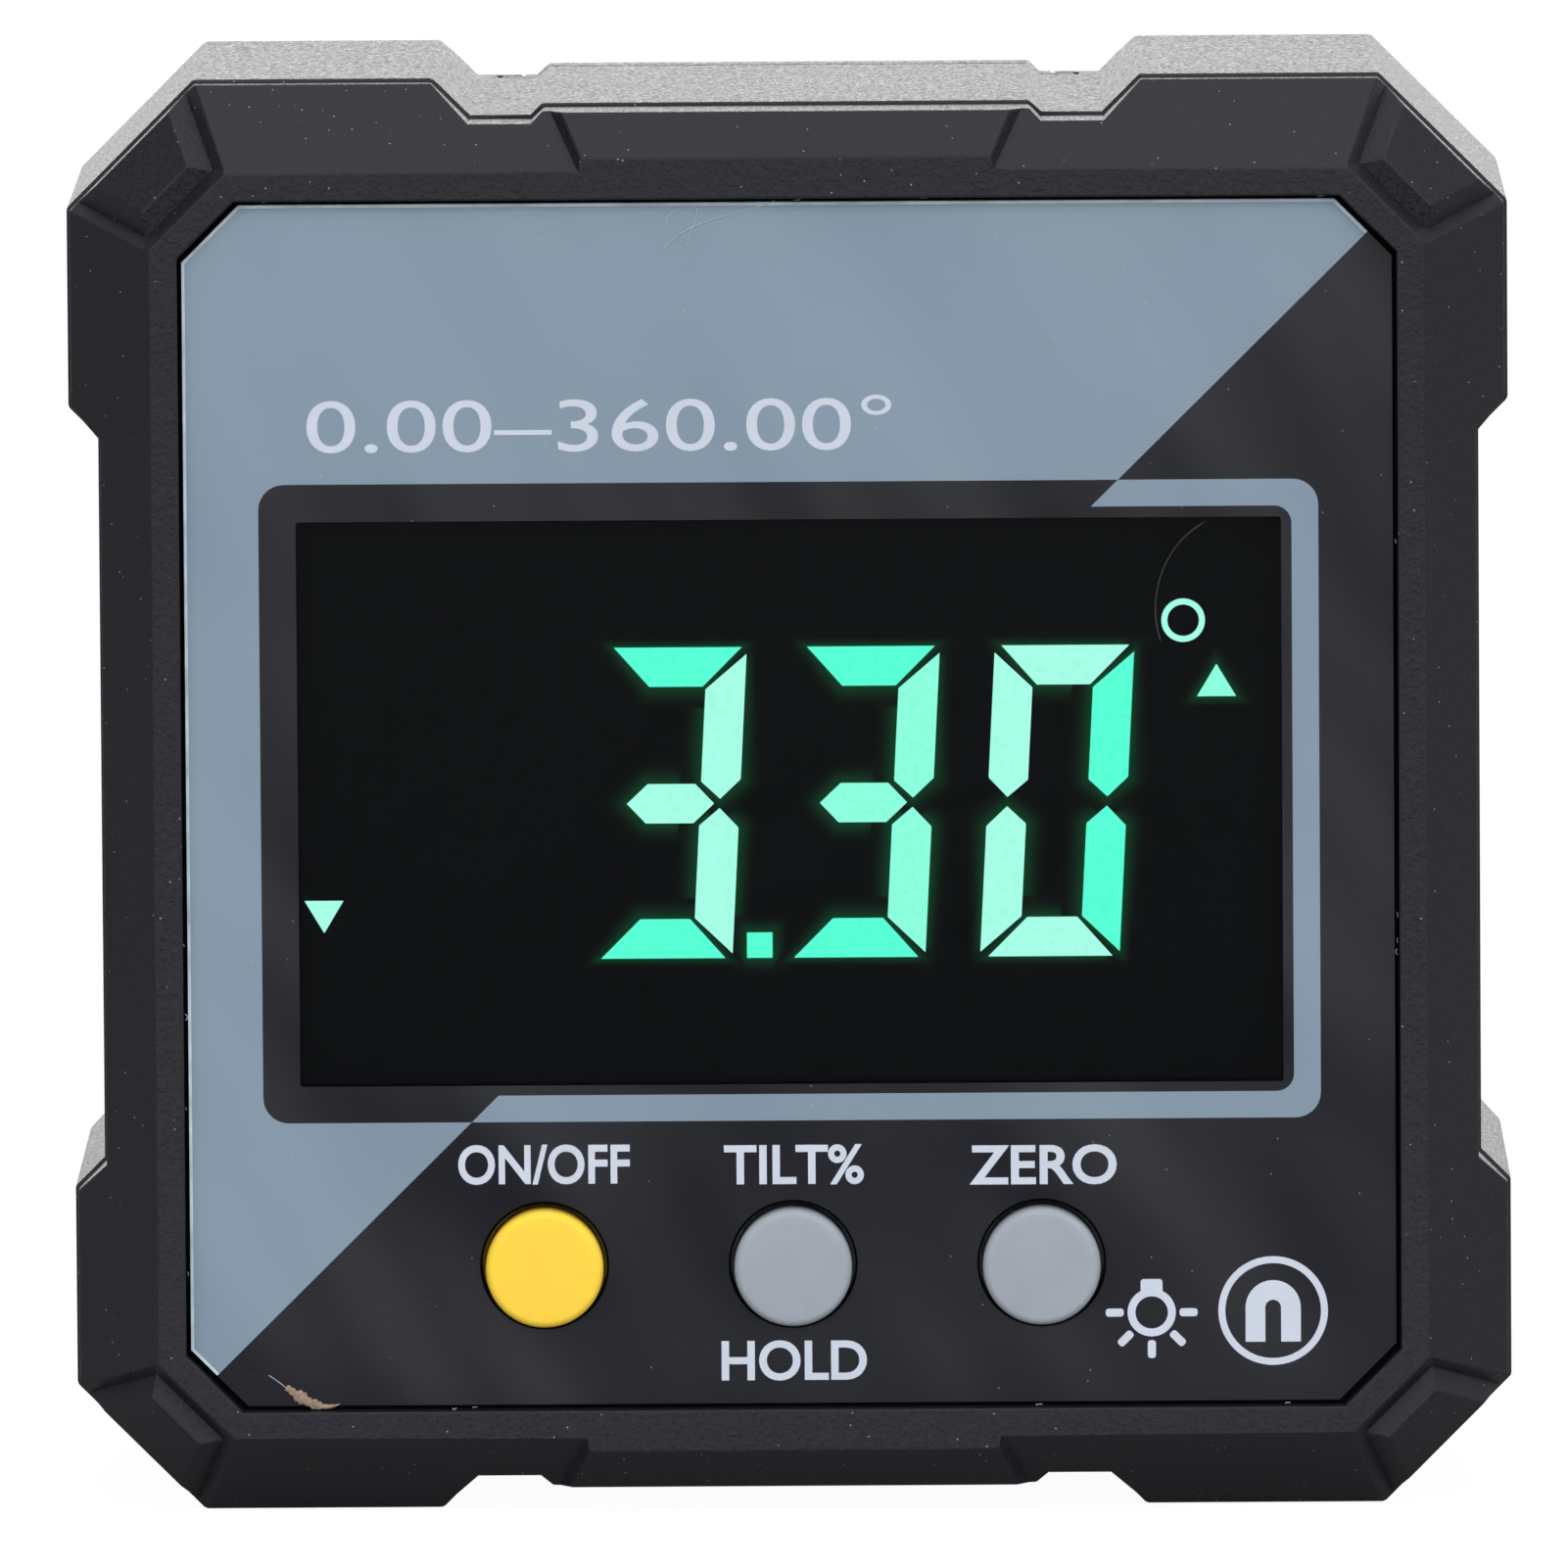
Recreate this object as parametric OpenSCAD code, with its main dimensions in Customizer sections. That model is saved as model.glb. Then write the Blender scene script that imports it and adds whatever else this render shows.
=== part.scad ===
// Digital angle gauge: a square pocket case that stands on any of its four sides.
// X runs to the right, Y runs from the face to the back and Z runs up from the base.
// Sizes are in millimetres. Depths are measured back from the flat ring of the face,
// and outlines are drawn about the middle of the face.

/* [Case] */
// Width across the side lugs
case_w = 62; // [61:0.5:70]
// Height across the top and base lugs
case_h = 62; // [61:0.5:70]
// Depth from the face ring to the back
case_d = 27; // [26.5:0.5:34]
// Thickness of the walls
wall = 1.8; // [1.5:0.1:2]
// Length cut off each corner
corner = 5.5; // [4.5:0.25:6]
// Bevel round the back edge
back_bevel = 0.8; // [0.4:0.1:1.2]

/* [Lugs] */
// Length of each lug on the top and base
lug_len = 10.3; // [9:0.1:11]
// Depth of the notches beside those lugs
notch_drop = 1.6; // [1.3:0.1:1.8]
// Flat floor of each notch
notch_floor = 2.6; // [1.8:0.1:3.2]
// Drop from the lugs to the middle pad
pad_drop = 1.1; // [0.8:0.1:1.2]
// Length of each lug on the sides
side_lug_len = 8.6; // [7:0.1:10]
// Drop from the side lugs to the long side recess
side_drop = 1.27; // [0.9:0.01:1.5]

/* [Bezel] */
// Width of the sloping border seen from the front
bevel_w = 3.65; // [3.2:0.05:4]
// Depth the border falls over that width
bevel_drop = 4.4; // [3.8:0.1:4.6]
// Depth of the joint between bezel and housing
parting = 5.2; // [5.1:0.1:6]
// Step in from the housing to the bezel at the joint
bezel_step = 0.15; // [0.05:0.05:0.3]
// Width of the flat ring round the face
ring_w = 1.2; // [0.9:0.05:1.4]
// Thickness of the plate behind the face
plate_t = 1.5; // [1.3:0.1:1.7]
// Near wall of the corner grooves, seen from the front
groove_near = 0.5; // [0.35:0.05:0.6]
// Far wall of the corner grooves, seen from the front
groove_far = 0.9; // [0.7:0.05:1.1]
// Depth of the corner grooves
groove_depth = 1; // [0.85:0.05:1.2]
// Depth of the corner facet at its inner edge
facet_in = 0.85; // [0.6:0.05:1]
// Half length of the raised middle strips at their outer edge
strip_half = 10.2; // [8:0.1:10.3]
// Width of the raised strip outside the ring line of the border
strip_step = 0.6; // [0.3:0.05:0.8]
// Depth of the raised strip at its outer edge
strip_drop = 2.2; // [1.8:0.1:2.6]
// Length of the tongue that enters the housing
tongue_len = 1.4; // [1:0.1:1.6]
// Thickness of that tongue
tongue_t = 1; // [0.8:0.1:1.2]

/* [Face film] */
// Depth of the film below the ring
film_sink = 0.7; // [0.5:0.05:0.8]
// Thickness of the film
film_t = 0.4; // [0.3:0.05:0.5]
// Gap round the film
film_gap = 0.2; // [0.1:0.05:0.3]
// Corner cut of the film
film_corner = 2.45; // [2:0.05:3]

/* [Display] */
// Width of the window as a share of the case
window_wide = 0.695; // [0.64:0.005:0.7]
// Height of the window as a share of the case
window_tall = 0.4; // [0.35:0.005:0.405]
// Height of the window's middle above the middle of the face
window_z = 0; // [-0.3:0.05:0.3]
// Thickness of the lip in front of the glass
lip_t = 0.6; // [0.5:0.05:0.7]
// Thickness of the foam gasket
gasket_t = 0.2; // [0.15:0.05:0.3]
// Glass on each side of the window
glass_side = 1.65; // [1.2:0.05:1.9]
// Glass below the window
glass_low = 1.7; // [1.2:0.1:1.9]
// Contact ledge of the glass above the window
glass_ledge = 3.4; // [3:0.1:4]
// Thickness of the glass
glass_t = 1.8; // [1.6:0.1:2.2]
// Thickness of the backlight
light_t = 3.5; // [3.2:0.1:4]
// Height of the contact strip
strip_h = 2.2; // [1.8:0.1:2.4]

/* [Buttons] */
// Diameter of the caps
cap_d = 5.07; // [4.6:0.01:5.4]
// Gap round the caps
cap_gap = 0.16; // [0.12:0.01:0.25]
// Distance between neighbouring caps as a share of the case
cap_spread = 0.1726; // [0.16:0.0005:0.18]
// Height of the caps above the lower edge of the face pocket
cap_rise = 6.15; // [5:0.05:6.5]
// Depth of the cap faces behind the ring
cap_face = 0.05; // [0:0.05:0.2]
// Round on the cap edge
cap_round = 0.35; // [0.2:0.05:0.5]
// Diameter of the flange behind the plate
flange_d = 6.9; // [6.4:0.1:7.4]
// Thickness of the flange
flange_t = 0.8; // [0.6:0.1:0.9]
// Travel of a cap
cap_travel = 0.5; // [0.3:0.05:0.6]
// Side of the switch bases
switch_w = 6; // [5.6:0.1:6.2]
// Height of the switch bases
switch_t = 2.4; // [2:0.1:2.6]
// Diameter of the switch plungers
plunger_d = 3.2; // [2.8:0.1:3.6]
// Height of a plunger above its base
plunger_out = 0.8; // [0.7:0.05:0.9]

/* [Board] */
// Thickness of the board
board_t = 1.6; // [1.2:0.1:1.8]
// Height of the parts on the back of the board
chip_t = 1.2; // [0.9:0.1:1.6]
// Side of the controller
chip_w = 9; // [7:0.5:11]
// Side of the tilt sensor
sensor_w = 4; // [3:0.5:6]

/* [Battery bay] */
// Diameter of a cell
cell_d = 10.5; // [10.2:0.1:10.6]
// Free length of the contact coils
coil_len = 4.5; // [3.5:0.1:5.5]
// Gap round the cells
cell_gap = 0.3; // [0.2:0.05:0.4]
// Room between the ends of the bay and the case walls
bay_room = 1.1; // [0.6:0.1:1.5]
// Walls of the bay
bay_wall = 1.3; // [1.1:0.1:1.5]
// Thickness of the door
door_t = 1.8; // [1.6:0.1:2]
// Thickness of the rails on the door
rail_t = 0.9; // [0.8:0.05:1]
// Width of the rails on the door
rail_w = 1; // [0.8:0.1:1.1]
// Gap round the door
door_gap = 0.12; // [0.08:0.01:0.2]
// Thickness of the contact metal
contact_t = 0.4; // [0.3:0.05:0.5]

/* [Magnets] */
// Diameter of a magnet
magnet_d = 6; // [5:0.25:8]
// Thickness of a magnet
magnet_t = 2.2; // [1.5:0.1:2.3]

/* [Screws] */
// Diameter of the case screws
case_screw_d = 2.3; // [2:0.1:2.6]
// Head of the case screws
case_head_d = 4.4; // [4:0.1:4.6]
// Diameter of the board screws
board_screw_d = 1.7; // [1.5:0.1:2]
// Head of the board screws
board_head_d = 3.6; // [3.2:0.1:3.8]

/* [Hidden] */
$fn = 64;
eps = 0.01;
over = 1;
big = 90;
thin_fit = 0.05;
seat_fit = 0.1;
hole_fit = 0.3;
head_fit = 0.5;
back_extra = 0.2;
root2 = sqrt(2);
half_w = case_w / 2;
half_h = case_h / 2;
case_mid = case_d / 2;

// Outline of the case, one quarter at a time
pad_rise = notch_drop - pad_drop;
lug_end = half_w - corner - lug_len;
notch_out = lug_end - notch_drop;
notch_in = notch_out - notch_floor;
pad_end = notch_in - pad_rise;
side_end = half_h - corner - side_lug_len;
quarter = [
    [pad_end, half_h - pad_drop],
    [notch_in, half_h - notch_drop],
    [notch_out, half_h - notch_drop],
    [lug_end, half_h],
    [half_w - corner, half_h],
    [half_w, half_h - corner],
    [half_w, side_end],
    [half_w - side_drop, side_end - side_drop]
];
last = len(quarter) - 1;
outline = concat(
    quarter,
    [for (i = [last : -1 : 0]) [quarter[i][0], -quarter[i][1]]],
    [for (i = [0 : last]) -quarter[i]],
    [for (i = [last : -1 : 0]) [-quarter[i][0], quarter[i][1]]]
);

// Inside of the case
cavity_w = half_w - side_drop - wall;
cavity_h = half_h - notch_drop - wall;
cut_sum = half_w + half_h - corner;
cavity_corner = cavity_w + cavity_h - cut_sum + wall * root2;
tongue_w = cavity_w - seat_fit;
tongue_h = cavity_h - seat_fit;
hollow_w = tongue_w - tongue_t;
hollow_h = tongue_h - tongue_t;

// Face, back from the ring
ring_half_w = half_w - bevel_w;
ring_half_h = half_h - bevel_w;
pocket_w = ring_half_w - ring_w;
pocket_h = ring_half_h - ring_w;
window_w = case_w * window_wide;
window_h = case_h * window_tall;
glass_w = window_w + 2 * glass_side;
film_back = film_sink + film_t;
plate_back = film_back + plate_t;
lip_back = film_back + lip_t;
glass_front = lip_back + gasket_t;
glass_back = glass_front + glass_t;
board_front = glass_back + light_t;
board_back = board_front + board_t;
glass_base = window_z - window_h / 2 - glass_low;
glass_top = window_z + window_h / 2 + glass_ledge;
glass_mid = (glass_base + glass_top) / 2;
glass_h = glass_top - glass_base;
light_h = glass_low + window_h;
light_mid = glass_base + light_h / 2;
strip_mid = glass_top - strip_h / 2 - seat_fit;
strip_short = 2;
strip_w = window_w - strip_short;

// Buttons and switches
flange_front = plate_back + thin_fit;
flange_back = flange_front + flange_t;
switch_front = board_front - switch_t;
plunger_front = switch_front - plunger_out;
plunger_in = 0.9;
plunger_fit = 0.06;
stem_d = 2.6;
plunger_end = 0.2;
cap_pitch = case_w * cap_spread;
cap_low = pocket_h - cap_rise;
cap_at = [-cap_pitch, 0, cap_pitch];

// Corner of the bezel: ring end, groove bottom and facet, each as x, height and depth
ring_sum = cut_sum - bevel_w * root2;
corner_tip = [half_w - corner / 2, half_h - corner / 2, 0];
hip_in = [ring_sum - ring_half_h, ring_half_h, 0];
hip_out = [half_w - corner, half_h, bevel_drop];
vee_in = [ring_half_w, ring_sum - ring_half_w, 0];
vee_out = [half_w, half_h - corner, bevel_drop];
ring_lip = 0.06;
hip_lip = hip_in + [ring_lip, ring_lip, 0];
vee_lip = vee_in + [ring_lip, ring_lip, 0];
turn = 22.5;
lead = [cos(turn / 2) / cos(turn + turn / 2), sin(turn / 2) / cos(turn + turn / 2)];
groove_pad = groove_near + groove_far;
hip_low = hip_in + [groove_near * lead[0], groove_near * lead[1], groove_depth];
vee_low = vee_in + [groove_near * lead[1], groove_near * lead[0], groove_depth];
hip_pad = hip_in + [groove_pad * lead[0], groove_pad * lead[1], facet_in];
vee_pad = vee_in + [groove_pad * lead[1], groove_pad * lead[0], facet_in];
hip_edge = hip_pad + hip_out - hip_in;
vee_edge = vee_pad + vee_out - vee_in;

// Raised strip in the middle of the top and base borders
slope = bevel_drop / bevel_w;
pad_half_h = half_h - pad_drop;
strip_line = ring_half_h + strip_step;
strip_foot = (pad_half_h - ring_half_h) * slope;
strip_taper = 1.3;
strip_tip = strip_half - strip_taper;
strip_lean = 0.5;

// Screws and their pillars
case_boss_d = 5.4;
screw_in_w = 4.3;
screw_in_h = 4;
pillar_more = 2;
boss_wall = 0.5;
boss_web = 5;
screw_room = 0.7;
case_screw_x = cavity_w - screw_in_w;
case_screw_z = cavity_h - screw_in_h;
pillar_back = board_back + pillar_more;
boss_d = case_boss_d + 2 * boss_wall;
case_seat = pillar_back + boss_web;
case_head_t = 1.8;
tip_room = 1;
tip_end = 0.4;
case_tip = glass_back + tip_room;
board_boss_d = 4.4;
board_head_t = 1.2;
board_tip = plate_back + tip_room;
board_gap = 0.4;
board_w = hollow_w - board_gap;
board_h = hollow_h - board_gap;
board_in_w = case_screw_x - boss_d / 2 - screw_room;
board_in_h = case_screw_z - boss_d / 2 - screw_room;
boss_in = 2.5;
boss_below = 0.6;
boss_above = 1.5;
switch_room = 1.3;
board_low_x = cap_pitch + (switch_w + board_boss_d) / 2 + switch_room;
board_high_x = board_in_w - boss_in;
board_low = glass_base - board_boss_d / 2 - boss_below;
board_high = glass_top + board_boss_d / 2 + boss_above;
board_at = [
    [-board_low_x, board_low],
    [board_low_x, board_low],
    [-board_high_x, board_high],
    [board_high_x, board_high]
];
chip_at = [-8, 4];
sensor_at = [9, 2];
slot_w = 0.5;
slot_t = 0.7;

// Battery bay and door
door_front = case_d - door_t;
cell_depth = door_front - cell_gap - cell_d / 2;
bay_floor = cell_depth - cell_d / 2 - cell_gap;
bay_back = door_front - thin_fit;
cell_apart = 0.2;
cell_x = (cell_d + cell_apart) / 2;
bay_half = cell_x + cell_d / 2 + cell_gap;
bay_h = cavity_h - bay_wall - bay_room;
rail_back = door_front + rail_t;
door_half = bay_half + bay_wall / 2;
door_low = bay_h + bay_wall / 2;
stud_d = 3.8;
stud_len = 1;
dimple_d = 3.4;
dimple_t = 0.6;
contact_w = 8.4;
contact_deep = 8.6;
cell_len = 2 * (bay_h - contact_t) - dimple_t - coil_len;
cell_shift = (coil_len - dimple_t) / 2;
wire_r = 0.3;
coil_big = 3.4;
coil_small = 2.3;
coil_turns = 4;
coil_steps = 14;
coil_sides = 6;
grip_w = 12;
grip_t = 0.4;
grip_h = 0.9;
grip_pitch = 2;
grip_low = -18;

// Base magnets
magnet_x = half_w - corner - lug_len / 2;
magnet_sink = 0.03;
magnet_fit = 0.05;
magnet_from = parting + (case_d - parting) * 0.27;
magnet_to = parting + (case_d - parting) * 0.73;

// Finish colours
shell_black = [0.09, 0.09, 0.1];
film_grey = [0.42, 0.49, 0.55];
foam_black = [0.05, 0.05, 0.05];
glass_black = [0.03, 0.04, 0.04];
light_white = [0.9, 0.93, 0.9];
board_green = [0.08, 0.3, 0.16];
chip_black = [0.06, 0.06, 0.06];
cap_yellow = [0.98, 0.72, 0.12];
cap_grey = [0.55, 0.57, 0.6];
metal_nickel = [0.75, 0.75, 0.73];
cell_silver = [0.6, 0.62, 0.64];
screw_steel = [0.5, 0.5, 0.52];

// A point given by x, height over the middle of the face and depth behind the ring
function at(p) = [p[0], p[2] - case_mid, p[1] + half_h];

// Unit vector square to the edge from a to b, pointing to its right
function edge_side(a, b) = [b[1] - a[1], a[0] - b[0]] / norm(b - a);

// Outline moved inwards by d, with its corners kept sharp
function inset(p, d) = [for (i = [0 : len(p) - 1])
    let (n = len(p))
    let (s = edge_side(p[(i + n - 1) % n], p[i]))
    let (t = edge_side(p[i], p[(i + 1) % n]))
    p[i] + (s + t) * d / (1 + s * t)];

// Outline run between two depths
module slab(from, to) {
    translate([0, to - case_mid, half_h])
        rotate([90, 0, 0])
            linear_extrude(to - from)
                children();
}

// Round pin or bore along the depth
module round_bar(x, z, d, from, to) {
    translate(at([x, z, from]))
        rotate([-90, 0, 0])
            cylinder(d = d, h = to - from);
}

// Everything on one side of the plane through three points: the side that holds a fourth
module beyond(a, b, c, far) {
    n = cross(at(b) - at(a), at(c) - at(a));
    u = n / norm(n) * sign(n * (at(far) - at(a)));
    translate(at(a))
        rotate([0, acos(u[2]), atan2(u[1], u[0])])
            translate([-big, -big, 0])
                cube([2 * big, 2 * big, big]);
}

// Rectangle about the middle with its corners cut
module cut_box(w, h, c) {
    polygon([
        [w, h - c], [w - c, h], [c - w, h], [-w, h - c],
        [-w, c - h], [c - w, -h], [w - c, -h], [w, c - h]
    ]);
}

// Rectangle of half width w between two heights
module band(w, low, high) {
    translate([-w, low])
        square([2 * w, high - low]);
}

// Copies on the right and left
module both_sides() {
    children();
    mirror([1, 0, 0])
        children();
}

// Copies at the top and the base
module top_and_base() {
    children();
    translate([0, 0, case_h])
        mirror([0, 0, 1])
            children();
}

// Front edge of the border, over the top and one side, taken off
module border_slopes() {
    top_and_base()
        beyond([0, ring_half_h, 0], [0, half_h, bevel_drop], [1, half_h, bevel_drop], [0, half_h, 0]);
    both_sides()
        beyond([ring_half_w, 0, 0], [half_w, 0, bevel_drop], [half_w, 1, bevel_drop], [half_w, 0, 0]);
}

// Room for one corner pad and its groove: the near walls fall away from hip, ring and hip
module corner_room() {
    intersection() {
        beyond(hip_in, hip_low, hip_out, corner_tip);
        beyond(hip_lip, vee_lip, hip_low, corner_tip);
        beyond(vee_in, vee_out, vee_low, corner_tip);
    }
}

// One corner pad: a facet with the far walls of the groove on three sides
module corner_pad() {
    difference() {
        slab(0, parting)
            intersection() {
                polygon(inset(outline, bezel_step));
                translate([lug_end, side_end])
                    square(big);
            }
        beyond(hip_pad, hip_edge, vee_pad, corner_tip);
        beyond(hip_low, hip_pad, hip_edge, hip_in);
        beyond(hip_low, vee_low, hip_pad, hip_in);
        beyond(vee_low, vee_edge, vee_pad, vee_in);
    }
}

// Raised strip in the middle of the top border, with ends that lean outwards
module raised_strip() {
    difference() {
        slab(0, parting)
            intersection() {
                polygon(inset(outline, bezel_step));
                translate([-half_w, pocket_h])
                    square(big);
            }
        beyond([0, strip_line, 0], [0, pad_half_h, strip_drop], [1, pad_half_h, strip_drop],
            [0, half_h, 0]);
        both_sides()
            beyond([strip_tip, ring_half_h, 0], [strip_half, pad_half_h, strip_foot],
                [strip_half - strip_lean, pad_half_h, strip_drop], [half_w, half_h, 0]);
    }
}

// Faceted border: slopes, grooved corner pads and raised strips
module border() {
    difference() {
        slab(0, parting)
            polygon(inset(outline, bezel_step));
        border_slopes();
        both_sides()
            top_and_base()
                corner_room();
    }
    both_sides()
        top_and_base()
            corner_pad();
    top_and_base()
        raised_strip();
}

// Black bezel: faceted border, plate, tongue and screw pillars
module front_bezel() {
    color(shell_black)
        difference() {
            union() {
                difference() {
                    border();
                    slab(plate_back, parting + eps)
                        cut_box(hollow_w, hollow_h, cavity_corner);
                }
                difference() {
                    slab(parting - over, parting + tongue_len)
                        cut_box(tongue_w, tongue_h, cavity_corner);
                    slab(parting - over - eps, parting + tongue_len + eps)
                        cut_box(hollow_w, hollow_h, cavity_corner);
                }
                for (x = [-case_screw_x, case_screw_x], z = [-case_screw_z, case_screw_z])
                    round_bar(x, z, case_boss_d, plate_back - eps, pillar_back);
                for (p = board_at)
                    round_bar(p[0], p[1], board_boss_d, plate_back - eps, board_front);
            }
            slab(-over, film_back)
                cut_box(pocket_w, pocket_h, film_corner);
            slab(film_back - over, plate_back + over)
                band(window_w / 2, window_z - window_h / 2, window_z + window_h / 2);
            slab(lip_back, plate_back + over)
                band(glass_w / 2 + seat_fit, glass_base - seat_fit, glass_top + seat_fit);
            for (x = cap_at)
                round_bar(x, -cap_low, cap_d + 2 * cap_gap, film_back - over, plate_back + over);
            for (x = [-case_screw_x, case_screw_x], z = [-case_screw_z, case_screw_z])
                round_bar(x, z, case_screw_d + seat_fit, case_tip - tip_end, pillar_back + over);
            for (p = board_at)
                round_bar(p[0], p[1], board_screw_d + seat_fit, board_tip - tip_end, board_front + over);
        }
}

// Bevel round the back edge, taken off
module back_edge() {
    top_and_base()
        beyond([0, half_h - back_bevel, case_d], [0, half_h, case_d - back_bevel],
            [1, half_h, case_d - back_bevel], [0, half_h, case_d]);
    both_sides()
        beyond([half_w - back_bevel, 0, case_d], [half_w, 0, case_d - back_bevel],
            [half_w, 1, case_d - back_bevel], [half_w, 0, case_d]);
    both_sides()
        top_and_base()
            beyond(corner_tip + [-back_bevel / root2, -back_bevel / root2, case_d],
                [half_w, half_h - corner, case_d - back_bevel],
                [half_w - corner, half_h, case_d - back_bevel], corner_tip + [0, 0, case_d]);
}

// Slideway for the door: rails in an undercut, open at the top
module door_way(gap) {
    slab(door_front - thin_fit, rail_back + gap)
        band(door_half + rail_w + gap, -door_low - gap, half_h + over);
    slab(door_front, case_d + over)
        band(door_half + gap, -door_low - gap, half_h + over);
}

// Black housing: walls, battery bay, slideway, screw tubes and magnet pockets
module rear_housing() {
    color(shell_black)
        difference() {
            union() {
                difference() {
                    slab(parting, case_d)
                        polygon(outline);
                    slab(parting - eps, case_d - wall - back_extra)
                        cut_box(cavity_w, cavity_h, cavity_corner);
                    back_edge();
                }
                slab(bay_floor - bay_wall, case_d - wall)
                    band(bay_half + bay_wall, -bay_h - bay_wall, bay_h + bay_wall);
                for (x = [-case_screw_x, case_screw_x], z = [-case_screw_z, case_screw_z])
                    round_bar(x, z, boss_d, pillar_back + thin_fit, case_d - wall);
            }
            slab(bay_floor, case_d + over)
                band(bay_half, -bay_h, bay_h);
            door_way(door_gap);
            for (x = [-case_screw_x, case_screw_x], z = [-case_screw_z, case_screw_z]) {
                round_bar(x, z, case_screw_d + hole_fit, pillar_back - over, case_d + over);
                round_bar(x, z, case_head_d + head_fit, case_seat, case_d + over);
            }
            for (x = [-magnet_x, magnet_x], y = [magnet_from, magnet_to])
                translate([x, y - case_mid, -over])
                    cylinder(d = magnet_d + 2 * magnet_fit, h = magnet_t + magnet_sink + over);
        }
}

// Printed face film with its three button holes
module face_film() {
    color(film_grey)
        difference() {
            slab(film_sink, film_back)
                cut_box(pocket_w - film_gap, pocket_h - film_gap, film_corner);
            for (x = cap_at)
                round_bar(x, -cap_low, cap_d + 2 * cap_gap, film_sink - over, film_back + over);
        }
}

// Foam frame between lip and glass
module display_gasket() {
    color(foam_black)
        slab(lip_back, glass_front)
            difference() {
                band(glass_w / 2, glass_base, glass_top);
                band(window_w / 2, window_z - window_h / 2, window_z + window_h / 2);
            }
}

// Glass cell of the display
module display_glass() {
    color(glass_black)
        slab(glass_front, glass_back)
            band(glass_w / 2, glass_base, glass_top);
}

// Light guide behind the glass
module backlight() {
    color(light_white)
        slab(glass_back, board_front)
            band(window_w / 2, light_mid - light_h / 2, light_mid + light_h / 2);
}

// Rubber strip that joins the glass to the board
module contact_strip() {
    color(foam_black)
        slab(glass_back, board_front)
            band(strip_w / 2, strip_mid - strip_h / 2, strip_mid + strip_h / 2);
}

// Circuit board, narrowed beside the screw pillars
module main_board() {
    color(board_green)
        difference() {
            slab(board_front, board_back)
                union() {
                    band(board_w, -board_in_h, board_in_h);
                    band(board_in_w, -board_h, board_h);
                }
            for (p = board_at)
                round_bar(p[0], p[1], board_screw_d + hole_fit, board_front - over, board_back + over);
        }
}

// Square part on the back of the board
module board_chip(p, w) {
    color(chip_black)
        slab(board_back, board_back + chip_t)
            translate(p)
                square(w, center = true);
}

// Base of one key switch with its plunger hole
module switch_base(x) {
    color(chip_black)
        difference() {
            slab(switch_front, board_front)
                translate([x - switch_w / 2, -cap_low - switch_w / 2])
                    square(switch_w);
            round_bar(x, -cap_low, plunger_d + 2 * plunger_fit, switch_front - over,
                switch_front + plunger_in + cap_travel + plunger_end);
        }
}

// Plunger of one key switch
module plunger(x) {
    color(metal_nickel)
        round_bar(x, -cap_low, plunger_d, plunger_front, switch_front + plunger_in);
}

// Button: rounded cap, flange behind the plate and stem down to the plunger
module button(x, paint) {
    color(paint)
        translate(at([x, -cap_low, 0]))
            rotate([-90, 0, 0])
                rotate_extrude()
                    union() {
                        translate([0, cap_face])
                            square([cap_d / 2 - cap_round, flange_back - cap_face]);
                        translate([0, cap_face + cap_round])
                            square([cap_d / 2, flange_back - cap_face - cap_round]);
                        intersection() {
                            translate([cap_d / 2 - cap_round, cap_face + cap_round])
                                circle(cap_round);
                            square(big);
                        }
                        translate([0, flange_front])
                            square([flange_d / 2, flange_t]);
                        translate([0, flange_front])
                            square([stem_d / 2, plunger_front - flange_front]);
                    }
}

// Sliding door, with grip lines and an end that follows the case outline
module battery_door() {
    color(shell_black)
        difference() {
            intersection() {
                slab(door_front, case_d)
                    polygon(outline);
                union() {
                    slab(door_front, rail_back)
                        band(door_half + rail_w, -door_low, half_h);
                    slab(door_front, case_d)
                        band(door_half, -door_low, half_h);
                }
            }
            back_edge();
            for (i = [0 : 4])
                slab(case_d - grip_t, case_d + over)
                    band(grip_w / 2, grip_low + i * grip_pitch, grip_low + i * grip_pitch + grip_h);
        }
}

// Cell with its stud towards the top
module cell() {
    color(cell_silver)
        union() {
            translate([0, 0, -cell_len / 2])
                cylinder(d = cell_d, h = cell_len - stud_len);
            translate([0, 0, cell_len / 2 - stud_len - eps])
                cylinder(d = stud_d, h = stud_len + eps);
        }
}

// Left cell, stud up
module left_cell() {
    translate(at([-cell_x, cell_shift, cell_depth]))
        cell();
}

// Right cell, stud down
module right_cell() {
    translate(at([cell_x, -cell_shift, cell_depth]))
        rotate([180, 0, 0])
            cell();
}

// Coil of tapering turns, standing on the origin
module coil() {
    count = coil_turns * coil_steps;
    rise = coil_len - 3 * wire_r / 2;
    points = [for (i = [0 : count], j = [0 : coil_sides - 1])
        let (a = i * 360 / coil_steps)
        let (b = j * 360 / coil_sides)
        let (r = coil_big + (coil_small - coil_big) * i / count + wire_r * cos(b))
        [r * cos(a), r * sin(a), wire_r / 2 + rise * i / count + wire_r * sin(b)]];
    sides = [for (i = [0 : count - 1], j = [0 : coil_sides - 1])
        let (k = (j + 1) % coil_sides)
        [i * coil_sides + j, i * coil_sides + k, (i + 1) * coil_sides + k, (i + 1) * coil_sides + j]];
    first = [[for (j = [coil_sides - 1 : -1 : 0]) j]];
    final = [[for (j = [0 : coil_sides - 1]) count * coil_sides + j]];
    polyhedron(points, concat(sides, first, final));
}

// Contact plate at one end of the bay, between two sides
module contact_plate(from, to, z) {
    translate(at([from, z, cell_depth - contact_deep / 2]))
        cube([to - from, contact_deep, contact_t]);
}

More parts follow.
